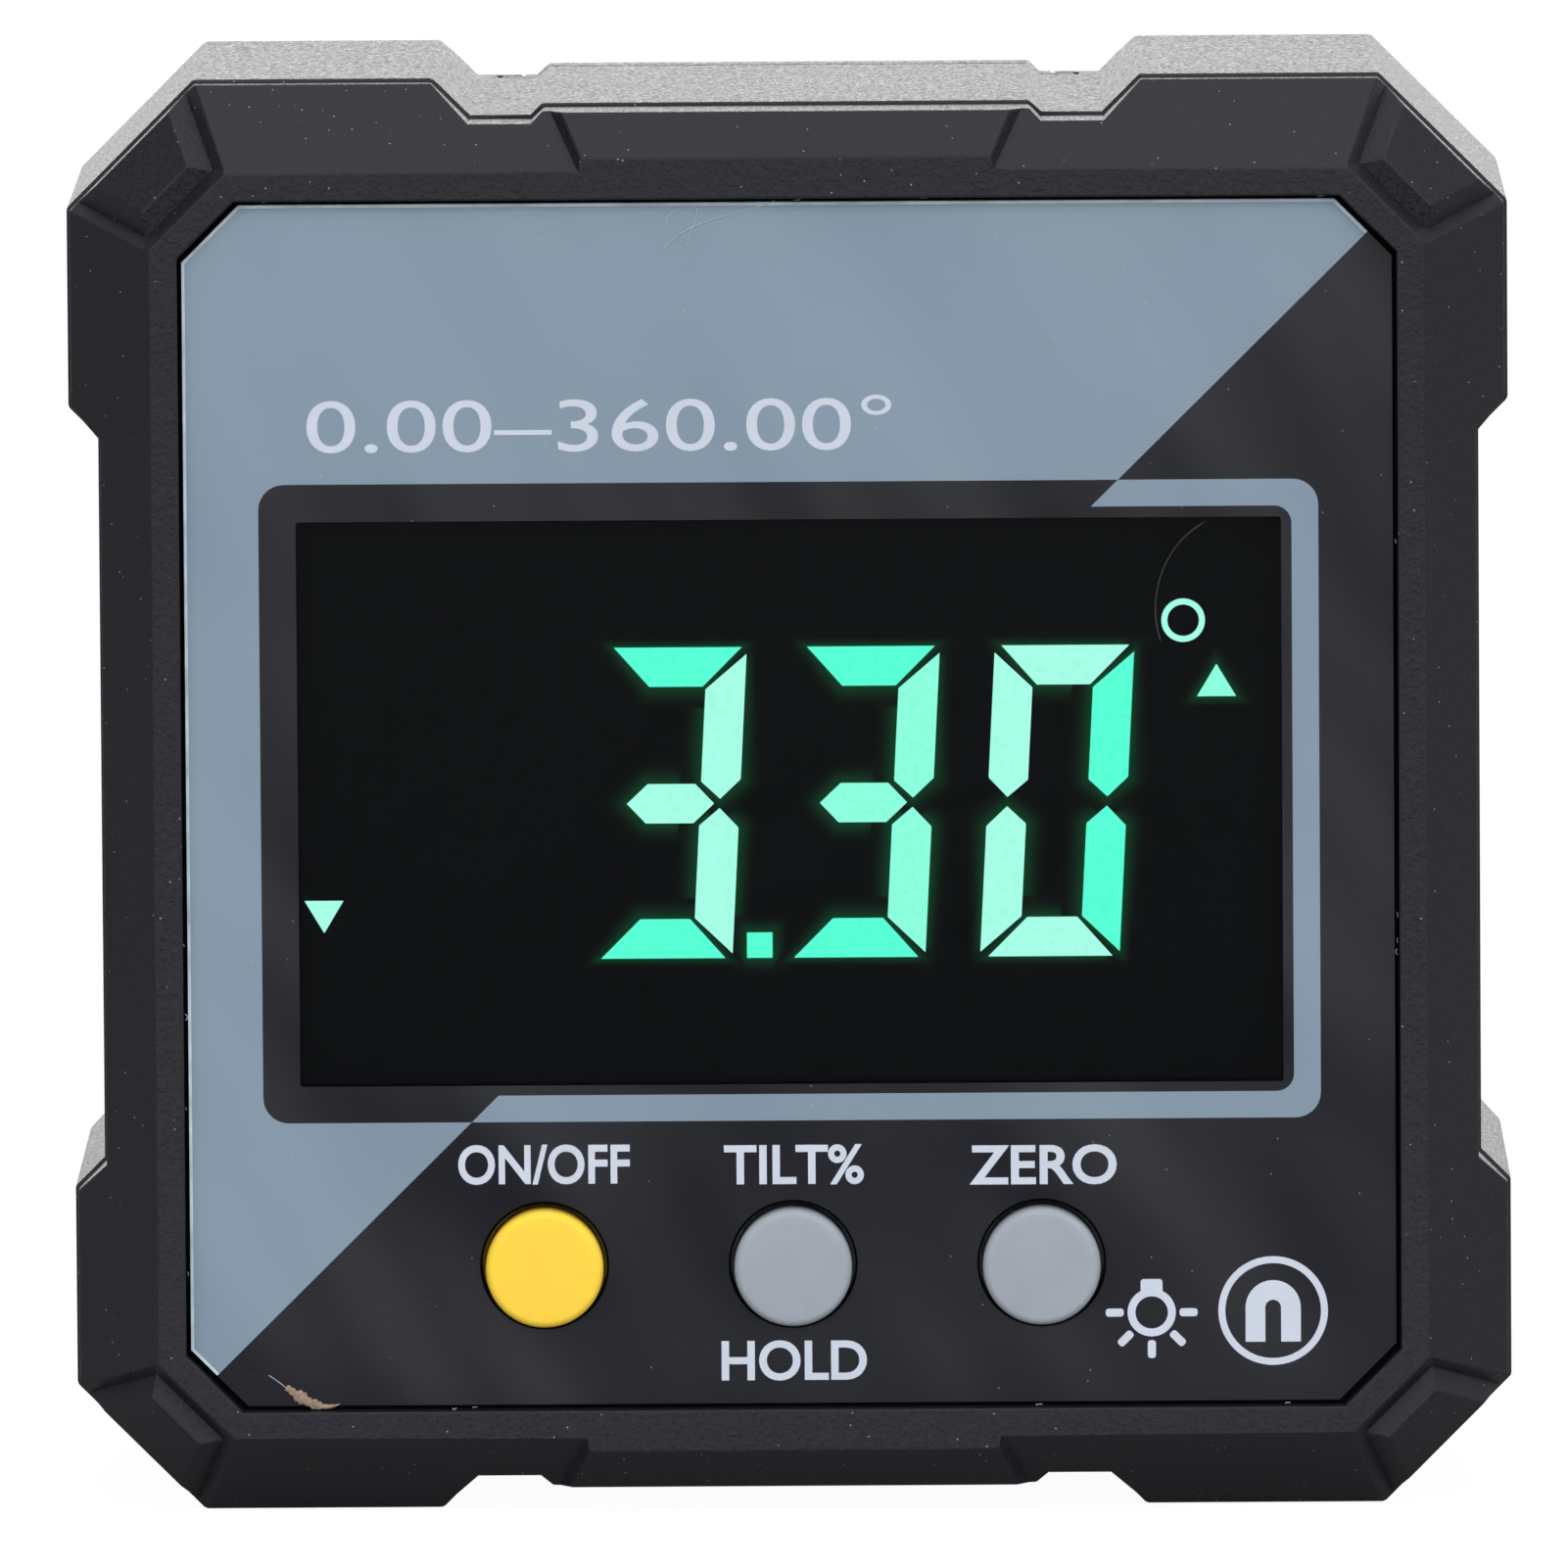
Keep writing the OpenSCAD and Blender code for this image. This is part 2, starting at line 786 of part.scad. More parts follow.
// Plate at the top for the stud of the left cell
module plus_contact() {
    color(metal_nickel)
        union() {
            contact_plate(-cell_x - contact_w / 2, -cell_x + contact_w / 2, bay_h - contact_t);
            translate(at([-cell_x, bay_h - contact_t - dimple_t, cell_depth]))
                cylinder(d = dimple_d, h = dimple_t + eps);
        }
}

// Plate and coil at the top for the flat end of the right cell
module minus_contact() {
    color(metal_nickel)
        union() {
            contact_plate(cell_x - contact_w / 2, cell_x + contact_w / 2, bay_h - contact_t);
            translate(at([cell_x, bay_h - contact_t + eps, cell_depth]))
                rotate([180, 0, 0])
                    coil();
        }
}

// Plate at the base that joins both cells, with one coil and one dimple
module bridge_contact() {
    color(metal_nickel)
        union() {
            contact_plate(-cell_x - contact_w / 2, cell_x + contact_w / 2, -bay_h);
            translate(at([-cell_x, -bay_h + contact_t - eps, cell_depth]))
                coil();
            translate(at([cell_x, -bay_h + contact_t - eps, cell_depth]))
                cylinder(d = dimple_d, h = dimple_t + eps);
        }
}

// Round magnet in a base lug
module magnet(x, y) {
    color(metal_nickel)
        translate([x, y - case_mid, magnet_sink])
            cylinder(d = magnet_d, h = magnet_t);
}

// Screw along the depth with a crossed slot in its head
module screw(x, z, d, tip, seat, head_d, head_t) {
    color(screw_steel)
        difference() {
            union() {
                round_bar(x, z, d, tip, seat + eps);
                round_bar(x, z, head_d, seat, seat + head_t);
            }
            slab(seat + head_t - slot_t, seat + head_t + over)
                translate([x, z]) {
                    square([head_d * 0.6, slot_w], center = true);
                    square([slot_w, head_d * 0.6], center = true);
                }
        }
}

// Screws that hold the housing to the bezel
module case_screws() {
    for (x = [-case_screw_x, case_screw_x], z = [-case_screw_z, case_screw_z])
        screw(x, z, case_screw_d, case_tip, case_seat, case_head_d, case_head_t);
}

// Screws that hold the board to the bezel
module board_screws() {
    for (p = board_at)
        screw(p[0], p[1], board_screw_d, board_tip, board_back, board_head_d, board_head_t);
}

rear_housing();
front_bezel();
face_film();
display_gasket();
display_glass();
backlight();
contact_strip();
main_board();
board_chip(chip_at, chip_w);  // controller
board_chip(sensor_at, sensor_w);  // tilt_sensor
switch_base(cap_at[0]);  // power_switch
switch_base(cap_at[1]);  // hold_switch
switch_base(cap_at[2]);  // zero_switch
plunger(cap_at[0]);  // power_plunger
plunger(cap_at[1]);  // hold_plunger
plunger(cap_at[2]);  // zero_plunger
button(cap_at[0], cap_yellow);  // power_button
button(cap_at[1], cap_grey);  // hold_button
button(cap_at[2], cap_grey);  // zero_button
battery_door();
left_cell();
right_cell();
plus_contact();
minus_contact();
bridge_contact();
magnet(-magnet_x, magnet_from);  // magnet_front_left
magnet(magnet_x, magnet_from);  // magnet_front_right
magnet(-magnet_x, magnet_to);  // magnet_back_left
magnet(magnet_x, magnet_to);  // magnet_back_right
case_screws();
board_screws();
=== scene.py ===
"""Looks of a square digital angle gauge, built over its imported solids.

Everything is in metres in the frame of the solids: X to the right seen from the face, Y from the
face to the back, Z up from the base. Sizes are written in millimetres and turned by the value MM.
"""

import logging
import math
from dataclasses import dataclass, replace
from enum import Enum
from typing import Any, Optional, Sequence

import bmesh
import bpy
import numpy as np
from bpy.types import Material, Mesh, Node, NodeSocket, NodeTree, Object
from mathutils import Matrix, Vector
from mathutils.geometry import delaunay_2d_cdt


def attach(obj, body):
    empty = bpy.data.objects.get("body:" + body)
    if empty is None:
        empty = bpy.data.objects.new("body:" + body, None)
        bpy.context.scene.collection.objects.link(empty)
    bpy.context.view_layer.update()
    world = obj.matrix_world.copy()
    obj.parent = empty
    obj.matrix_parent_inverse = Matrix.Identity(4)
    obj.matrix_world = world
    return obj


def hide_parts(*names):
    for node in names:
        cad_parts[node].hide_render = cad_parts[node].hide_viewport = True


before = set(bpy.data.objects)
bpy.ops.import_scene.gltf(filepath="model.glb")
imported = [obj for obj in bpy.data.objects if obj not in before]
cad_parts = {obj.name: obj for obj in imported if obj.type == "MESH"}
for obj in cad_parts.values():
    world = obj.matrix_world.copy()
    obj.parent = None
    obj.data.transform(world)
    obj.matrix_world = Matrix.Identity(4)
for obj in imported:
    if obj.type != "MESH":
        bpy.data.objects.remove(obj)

LOG = logging.getLogger("angle_gauge")
MM = 0.001
# Half the depth of the case and the height of the middle of its face, in millimetres
CASE_MID = 13.5
FACE_MID = 31.0
# Places of the three keys across the face, in millimetres
KEY_X = (-10.7, 0.0, 10.7)
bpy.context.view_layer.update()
WHITE = (1.0, 1.0, 1.0, 1.0)
# A noise texture lies mostly between these two values
NOISE_SPAN = {"From Min": 0.3, "From Max": 0.7}

Pair = tuple[float, float]
Triple = tuple[float, float, float]
Outline = tuple[Pair, ...]


def linear(hex_colour: str) -> tuple[float, float, float, float]:
    """Turns an sRGB hex colour into the linear colour that shaders take.

    Args:
        hex_colour: six hex digits, with or without a leading hash.

    Returns:
        Red, green, blue and an alpha of 1.
    """
    digits = hex_colour.lstrip("#")
    srgb = np.array([int(digits[i : i + 2], 16) for i in (0, 2, 4)]) / 255.0
    low = srgb / 12.92
    high = ((srgb + 0.055) / 1.055) ** 2.4
    red, green, blue = np.where(srgb <= 0.04045, low, high)
    return float(red), float(green), float(blue), 1.0


def add_node(
    tree: NodeTree,
    kind: str,
    sets: Optional[dict[Any, Any]] = None,
    links: Optional[dict[Any, Node | NodeSocket]] = None,
) -> Node:
    """Adds one shader node, with its settings and the links into it.

    Args:
        tree: the node tree that gets the node.
        kind: Blender's name of the node type.
        sets: values by input name or number, or by property name where no such input exists.
        links: output sockets, or nodes for their first output, by the name or number of the input.

    Returns:
        The new node.
    """
    node = tree.nodes.new(kind)
    for name, value in (sets or {}).items():
        if isinstance(name, int) or name in node.inputs:
            node.inputs[name].default_value = value
        else:
            setattr(node, name, value)
    for name, source in (links or {}).items():
        output = source.outputs[0] if isinstance(source, Node) else source
        tree.links.new(output, node.inputs[name])
    return node


def grid_scale(size_mm: float) -> float:
    """Gives the texture scale at which one feature is about the given size.

    Args:
        size_mm: the feature's size, in millimetres.

    Returns:
        The scale for coordinates in metres.
    """
    return 1.0 / (size_mm * MM)


class Look:
    """Anything that makes a material: it has a name and fills a node tree."""

    name: str

    def surface(self, tree: NodeTree, place: NodeSocket) -> Node:
        """Adds the nodes of this look.

        Args:
            tree: the material's node tree.
            place: Object coordinates.

        Returns:
            The last shader node.
        """
        raise NotImplementedError

    def material(self) -> Material:
        """Builds the material.

        Returns:
            A new material.
        """
        material = bpy.data.materials.new(self.name)
        material.use_nodes = True
        tree = material.node_tree
        tree.nodes.clear()
        place = add_node(tree, "ShaderNodeTexCoord").outputs["Object"]
        add_node(tree, "ShaderNodeOutputMaterial", links={"Surface": self.surface(tree, place)})
        return material


@dataclass(frozen=True)
class Finish(Look):
    """A surface that is mottled, grained and specked on Object coordinates.

    The grain is a bump of noise; the mottle is a slow change of lightness; specks are round dots of
    dust or of pigment where a Voronoi cell's centre is close.
    """

    name: str
    colour: str
    mottle: float = 0.06
    mottle_mm: float = 6.0
    roughness: float = 0.5
    rough_swing: float = 0.08
    metallic: float = 0.0
    grain_mm: float = 0.2
    grain_height_mm: float = 0.0
    wave_mm: float = 0.0
    wave_height_mm: float = 0.0
    wave_stretch: float = 3.0
    wave_turn_deg: float = 62.0
    dust: float = 0.0
    dust_mm: float = 0.045
    dust_cell_mm: float = 2.6
    dust_core: float = 0.6
    dust_colour: str = "B9BCC4"
    coat: float = 0.0
    coat_roughness: float = 0.1
    subsurface: float = 0.0
    subsurface_mm: float = 0.8
    subsurface_tint: Triple = (1.0, 0.5, 0.2)
    specular: float = 0.5

    def surface(self, tree: NodeTree, place: NodeSocket) -> Node:
        """Adds the mottle, the specks and the grain, as in Look."""
        slow = add_node(
            tree, "ShaderNodeTexNoise",
            {"Scale": grid_scale(self.mottle_mm), "Detail": 3.0, "Roughness": 0.55},
            {"Vector": place},
        )
        tone, rough = (
            add_node(
                tree, "ShaderNodeMapRange",
                {**NOISE_SPAN, "To Min": middle - swing, "To Max": middle + swing}, {"Value": slow},
            )
            for middle, swing in ((1.0, self.mottle), (self.roughness, self.rough_swing))
        )
        colour = add_node(
            tree, "ShaderNodeVectorMath",
            {"operation": "SCALE", 0: linear(self.colour)[:3]}, {"Scale": tone},
        )
        if self.dust > 0.0:
            colour = self._dusted(tree, place, colour)
        links = {"Base Color": colour, "Roughness": rough}
        bump = self._bump(tree, place)
        if bump is not None:
            links["Normal"] = bump
        sets: dict[str, Any] = {"Metallic": self.metallic, "Specular IOR Level": self.specular}
        if self.coat > 0.0:
            sets.update({"Coat Weight": self.coat, "Coat Roughness": self.coat_roughness})
        if self.subsurface > 0.0:
            sets.update({
                "Subsurface Weight": self.subsurface,
                "Subsurface Scale": self.subsurface_mm * MM,
                "Subsurface Radius": self.subsurface_tint,
            })
        return add_node(tree, "ShaderNodeBsdfPrincipled", sets, links)

    def _dusted(self, tree: NodeTree, place: NodeSocket, colour: Node) -> Node:
        """Lays pale dots over a colour: a dot where the distance to a cell's centre is small.

        Args:
            tree: the material's node tree.
            place: Object coordinates.
            colour: the colour under the dots.

        Returns:
            The dotted colour.
        """
        cell = add_node(
            tree, "ShaderNodeTexVoronoi",
            {"Scale": grid_scale(self.dust_cell_mm), "Randomness": 1.0}, {"Vector": place},
        )
        size = self.dust_mm / self.dust_cell_mm
        dot = add_node(
            tree, "ShaderNodeMapRange",
            {"From Min": self.dust_core * size, "From Max": size, "To Min": self.dust, "To Max": 0.0},
            {"Value": cell},
        )
        return add_node(
            tree, "ShaderNodeMixRGB", {"Color2": linear(self.dust_colour)}, {"Fac": dot, "Color1": colour}
        )

    def _bump(self, tree: NodeTree, place: NodeSocket) -> Optional[Node]:
        """Stacks the fine grain over the slow waves of the surface.

        Args:
            tree: the material's node tree.
            place: Object coordinates.

        Returns:
            The bent normal, or None where the finish is plain.
        """
        normal = None
        if self.wave_height_mm > 0.0:
            slanted = add_node(
                tree, "ShaderNodeMapping",
                {
                    "vector_type": "TEXTURE", "Rotation": (0.0, math.radians(self.wave_turn_deg), 0.0),
                    "Scale": (self.wave_stretch, 1.0, 1.0),
                },
                {"Vector": place},
            )
            wave = add_node(
                tree, "ShaderNodeTexNoise",
                {"Scale": grid_scale(self.wave_mm), "Detail": 1.0}, {"Vector": slanted},
            )
            normal = add_node(
                tree, "ShaderNodeBump",
                {"Distance": self.wave_height_mm * MM, "Strength": 1.0}, {"Height": wave},
            )
        if self.grain_height_mm > 0.0:
            grain = add_node(
                tree, "ShaderNodeTexNoise",
                {"Scale": grid_scale(self.grain_mm), "Detail": 2.0, "Roughness": 0.6}, {"Vector": place},
            )
            links = {"Height": grain}
            if normal is not None:
                links["Normal"] = normal
            normal = add_node(
                tree, "ShaderNodeBump", {"Distance": self.grain_height_mm * MM, "Strength": 1.0}, links
            )
        return normal


@dataclass(frozen=True)
class Glow(Look):
    """A lit area of the display.

    Light comes evenly out of it with a faint mottle, or fades with a named attribute of the piece.
    """

    name: str
    colour: str
    strength: float = 1.0
    swing: float = 0.04
    grain_mm: float = 0.35
    base: str = "06120D"
    roughness: float = 0.6
    specular: float = 0.0
    fade: Optional[str] = None

    def surface(self, tree: NodeTree, place: NodeSocket) -> Node:
        """Adds the emission and what its level follows, as in Look."""
        if self.fade:
            source = add_node(tree, "ShaderNodeAttribute", {"attribute_name": self.fade})
            span = {"To Min": 0.0, "To Max": self.strength}
        else:
            source = add_node(
                tree, "ShaderNodeTexNoise",
                {"Scale": grid_scale(self.grain_mm), "Detail": 1.0}, {"Vector": place},
            )
            low, high = (self.strength * (1.0 + side * self.swing) for side in (-1, 1))
            span = {**NOISE_SPAN, "To Min": low, "To Max": high}
        level = add_node(tree, "ShaderNodeMapRange", span, {"Value": source.outputs["Fac"]})
        return add_node(
            tree, "ShaderNodeBsdfPrincipled",
            {
                "Base Color": linear(self.base), "Emission Color": linear(self.colour),
                "Roughness": self.roughness, "Specular IOR Level": self.specular,
            },
            {"Emission Strength": level},
        )


@dataclass(frozen=True)
class ClearPane(Look):
    """Clear polycarbonate film with no print: see-through, with a soft satin reflection."""

    name: str = "clear_polycarbonate_window"
    roughness: float = 0.06
    swing: float = 0.2
    wave_mm: float = 9.0
    ior: float = 1.1

    def surface(self, tree: NodeTree, place: NodeSocket) -> Node:
        """Adds the clear body and its uneven satin, as in Look."""
        wave = add_node(
            tree, "ShaderNodeTexNoise",
            {"Scale": grid_scale(self.wave_mm), "Detail": 1.0}, {"Vector": place},
        )
        low, high = (self.roughness * (1.0 + side * self.swing) for side in (-1, 1))
        rough = add_node(tree, "ShaderNodeMapRange", {"To Min": low, "To Max": high}, {"Value": wave})
        return add_node(
            tree, "ShaderNodeBsdfPrincipled",
            {"Base Color": WHITE, "Transmission Weight": 1.0, "IOR": self.ior},
            {"Roughness": rough},
        )


# Moulded ABS off a spark-eroded tool: a dull black with a fine even grain that sparkles on slopes
SHELL = Finish(
    "moulded_abs_black", "1B1B22", mottle=0.3, mottle_mm=0.16, roughness=0.42, rough_swing=0.16,
    grain_height_mm=0.026, dust=0.5, dust_cell_mm=0.7,
)
# Rolled adhesive under the film, made dead black as painted shade: it stands for the depth of the gaps
# round film and keys
ADHESIVE_GAP_SHADE = Finish(
    "black_adhesive_painted_gap_shade", "060607", mottle=0.2, mottle_mm=0.8, roughness=0.8, grain_mm=0.3,
    grain_height_mm=0.01, specular=0.1,
)
# Polycarbonate film printed on its back: an even ink under a satin skin with slow waves
INK_BLUE = Finish(
    "printed_film_blue_grey", "7C8E9E", mottle=0.03, mottle_mm=14.0, roughness=0.14, rough_swing=0.02,
    grain_mm=0.25, grain_height_mm=0.0006, wave_mm=9.0, wave_height_mm=0.42, dust=0.4, dust_mm=0.04,
    dust_cell_mm=1.3, dust_colour="C8CED4",
)
# The same film over dark ink: the waves show as soft pale bands, and dust stands out
INK_CHARCOAL = replace(
    INK_BLUE, name="printed_film_charcoal", colour="17181F", mottle=0.06, dust=0.35, dust_cell_mm=1.2,
    dust_colour="B9BCC4",
)
# Pale band along the film's die-cut edge: a painted highlight, laid flat on the film, for the light that
# the cut edge gathers
EDGE_HIGHLIGHT = Finish(
    "film_edge_painted_highlight", "B4C6CE", mottle=0.25, mottle_mm=1.6, roughness=0.4, grain_mm=0.3,
    grain_height_mm=0.004,
)
# White screen print: a flat, slightly blue white that hardly shines
INK_WHITE = Finish(
    "printed_film_white", "C2C9D7", mottle=0.03, mottle_mm=1.5, roughness=0.4, rough_swing=0.03,
    grain_height_mm=0.001, specular=0.3,
)
# Silicone caps: soft, slightly see-through, with a powdery skin
CAP_YELLOW = Finish(
    "moulded_silicone_yellow", "FBCF45", mottle=0.03, mottle_mm=1.6, roughness=0.55, rough_swing=0.04,
    grain_mm=0.12, grain_height_mm=0.002, dust=0.5, dust_mm=0.035, dust_cell_mm=0.6,
    dust_colour="FFF2C0", subsurface=0.5, subsurface_mm=0.8, subsurface_tint=(1.0, 0.6, 0.15),
)
# The same silicone with grey pigment: a cool even grey with little warmth under its skin
CAP_GREY = replace(
    CAP_YELLOW, name="moulded_silicone_grey", colour="9AA1AA", dust_colour="E4E7EA", subsurface_mm=0.7,
    subsurface_tint=(0.9, 0.95, 1.0),
)
# Float glass with a black negative layer: almost no colour of its own
CELL_BLACK = Finish(
    "display_glass_black", "040608", mottle=0.1, mottle_mm=8.0, roughness=0.22, rough_swing=0.02,
    dust=0.3, dust_mm=0.04, dust_cell_mm=1.1, dust_colour="6E747A", specular=0.06,
)
# Light that strays sideways in the display glass: a deep green that dies away from each segment
STRAY_GREEN = Glow(
    "stray_light_green", "0A6A3C", 0.3, base="06080A", roughness=0.22, specular=0.06, fade="stray"
)
# Cut foam: open pores that swallow light, so it looks deep black
FOAM = Finish(
    "cut_foam_black", "131314", mottle=0.15, mottle_mm=0.5, roughness=0.9, grain_mm=0.15,
    grain_height_mm=0.03, specular=0.2,
)
# Moulded acrylic with white pigment: even, milky and smooth
GUIDE = Finish(
    "moulded_acrylic_white", "E6EAE4", mottle=0.02, mottle_mm=5.0, roughness=0.3, grain_height_mm=0.001
)
# Glass laminate under solder mask: green with a woven unevenness and a thin shine
BOARD = Finish(
    "laminate_solder_mask_green", "145A32", mottle=0.12, mottle_mm=1.2, roughness=0.4, grain_mm=0.5,
    grain_height_mm=0.006, coat=0.3,
)
# Transfer-moulded epoxy: a dull dark grey with a sandy face
CHIP = Finish(
    "moulded_epoxy_black", "151516", mottle=0.1, mottle_mm=0.8, roughness=0.6, grain_mm=0.1,
    grain_height_mm=0.004,
)
# Bright nickel plate: warm, mirror-like and a little clouded
NICKEL = Finish(
    "plated_nickel_bright", "C6C4BC", mottle=0.05, mottle_mm=1.5, roughness=0.22, rough_swing=0.06,
    metallic=1.0, grain_mm=0.15, grain_height_mm=0.002,
)
# Zinc on turned steel: a cool grey shine, broken by fine scratches
ZINC = Finish(
    "plated_zinc_steel", "8A8B90", mottle=0.08, mottle_mm=0.8, roughness=0.35, metallic=1.0,
    grain_mm=0.1, grain_height_mm=0.003,
)
# Vinyl sleeve shrunk round a cell: silver under a clear shiny skin
WRAP = Finish(
    "shrunk_vinyl_silver", "8E9399", mottle=0.04, mottle_mm=3.0, roughness=0.3, rough_swing=0.03,
    grain_mm=1.2, grain_height_mm=0.002, coat=0.5,
)
# Cotton lint: pale thin threads that catch the light
FIBRE_PALE = Finish("cotton_lint_pale", "BCC5CC", mottle=0.1, mottle_mm=0.3, roughness=0.8)
# A single hair: hardly lighter than the dark glass behind it
HAIR_GREY = Finish("single_hair_grey", "5A5D5E", mottle=0.3, mottle_mm=0.8, roughness=0.6)
# Dry plant flake: tan with darker cells, quite dull
FLAKE_TAN = Finish(
    "dry_plant_flake_tan", "8F7D6E", mottle=0.35, mottle_mm=0.12, roughness=0.85, grain_mm=0.08,
    grain_height_mm=0.02,
)


class Tone(Enum):
    """How strongly a display segment is lit."""

    # Liquid crystal over a lit guide: flat, even light, from a full aqua to a mint that is nearly white
    DEEP = Glow("lit_segment_deep", "58FFD5")
    MIDDLE = Glow("lit_segment_middle", "8CFFDD")
    PALE = Glow("lit_segment_pale", "A6FFE6")


def face_point(points: np.ndarray, depth: float | np.ndarray) -> np.ndarray:
    """Puts points of the face plane into the frame.

    Args:
        points: rows of x and height over the middle of the face, in millimetres.
        depth: distance behind the ring of the face, in millimetres, for all points or for each.

    Returns:
        Rows of x, y, z in metres.
    """
    flat = np.asarray(points, float)
    full = np.column_stack([flat[:, 0], np.full(len(flat), depth - CASE_MID), flat[:, 1] + FACE_MID])
    return full * MM


def show(mesh: Mesh, body: str) -> Object:
    """Puts a mesh into the scene under its own name and lets it ride on a body.

    Args:
        mesh: the finished mesh.
        body: the body that the piece moves with.

    Returns:
        The new object.
    """
    piece = bpy.data.objects.new(mesh.name, mesh)
    bpy.context.scene.collection.objects.link(piece)
    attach(piece, body)
    LOG.info("piece %s: %d faces", piece.name, len(mesh.polygons))
    return piece


def turn_outwards(mesh: Mesh) -> None:
    """Turns the faces of a closed mesh outwards.

    Args:
        mesh: the mesh.
    """
    work = bmesh.new()
    work.from_mesh(mesh)
    bmesh.ops.recalc_face_normals(work, faces=work.faces)
    work.to_mesh(mesh)
    work.free()
    mesh.update()


def add_piece(
    name: str,
    vertices: np.ndarray,
    faces: Sequence[Sequence[int]],
    materials: Sequence[Material],
    body: str = "case",
    smooth: bool = False,
    closed: bool = True,
) -> Object:
    """Makes a mesh object from whole arrays and lets it ride on a body.

    Args:
        name: the piece's name.
        vertices: rows of x, y, z in metres.
        faces: vertex numbers of each face.
        materials: the piece's material slots.
        body: the body that the piece moves with.
        smooth: whether faces are shaded smooth.
        closed: whether the faces close a volume and are turned outwards.

    Returns:
        The new object.
    """
    mesh = bpy.data.meshes.new(name)
    mesh.from_pydata(np.asarray(vertices).tolist(), [], [list(map(int, face)) for face in faces])
    for material in materials:
        mesh.materials.append(material)
    mesh.polygons.foreach_set("use_smooth", np.full(len(mesh.polygons), smooth))
    mesh.update()
    if closed:
        turn_outwards(mesh)
    return show(mesh, body)


def ring_quads(rows: int, count: int, start: int = 0) -> np.ndarray:
    """Four-cornered faces between rings of points that follow each other.

    Args:
        rows: number of rings.
        count: points on each ring.
        start: number of the first point.

    Returns:
        Rows of four point numbers.
    """
    ring = np.arange(count)
    after = np.roll(ring, -1)
    line = np.arange(rows - 1)[:, None] * count + start
    sides = [line + ring, line + after, line + count + after, line + count + ring]
    return np.stack(sides, axis=-1).reshape(-1, 4)


@dataclass
class Layer:
    """A thin flat layer on the face, with its depth and thickness in millimetres."""

    depth: float
    thick: float
    material: Material
    slot: str

    def plate(self, name: str, outlines: Sequence[np.ndarray]) -> None:
        """Makes a flat plate: each outline is run back by the thickness.

        Args:
            name: the piece's name.
            outlines: simple loops, rows of x and height, counter-clockwise.
        """
        blocks, faces, start = [], [], 0
        for loop in outlines:
            count = len(loop)
            blocks += [face_point(loop, self.depth), face_point(loop, self.depth + self.thick)]
            ring = np.arange(count) + start
            faces += [ring, (ring + count)[::-1], *ring_quads(2, count, start)]
            start += 2 * count
        add_piece(name, np.vstack(blocks), faces, [self.material])

    def hoop(self, name: str, loops: Sequence[np.ndarray]) -> None:
        """Makes a closed band: its section runs over the front, the inside, the back and the outside.

        Args:
            name: the piece's name.
            loops: the outer and the inner loop, of the same number of points.
        """
        outer, inner = loops
        near, far = self.depth, self.depth + self.thick
        corners = ((outer, near), (inner, near), (inner, far), (outer, far))
        points = np.vstack([face_point(loop, depth) for loop, depth in corners])
        add_piece(name, points, ring_quads(5, len(outer)) % len(points), [self.material])


def round_box(wide: float, tall: float, radius: float, steps: int = 8) -> np.ndarray:
    """Outline of a rectangle with round corners: quarter circles about four corner centres.

    Args:
        wide: half width.
        tall: half height.
        radius: corner radius.
        steps: points on each corner.

    Returns:
        Rows of x and height, counter-clockwise.
    """
    turn = np.linspace(0.0, np.pi / 2, steps)
    corner = np.repeat(np.arange(4), steps)
    angle = np.tile(turn, 4) + corner * np.pi / 2
    side = np.array([[1, 1], [-1, 1], [-1, -1], [1, -1]])[corner]
    centre = side * np.array([wide - radius, tall - radius])
    return centre + radius * np.column_stack([np.cos(angle), np.sin(angle)])


def ring_points(centre: Sequence[float], radius: float, count: int) -> np.ndarray:
    """Points evenly round a circle.

    Args:
        centre: x and height of its middle.
        radius: its radius.
        count: number of points.

    Returns:
        Rows of x and height, counter-clockwise.
    """
    angle = np.arange(count) * 2 * np.pi / count
    return np.asarray(centre) + radius * np.column_stack([np.cos(angle), np.sin(angle)])


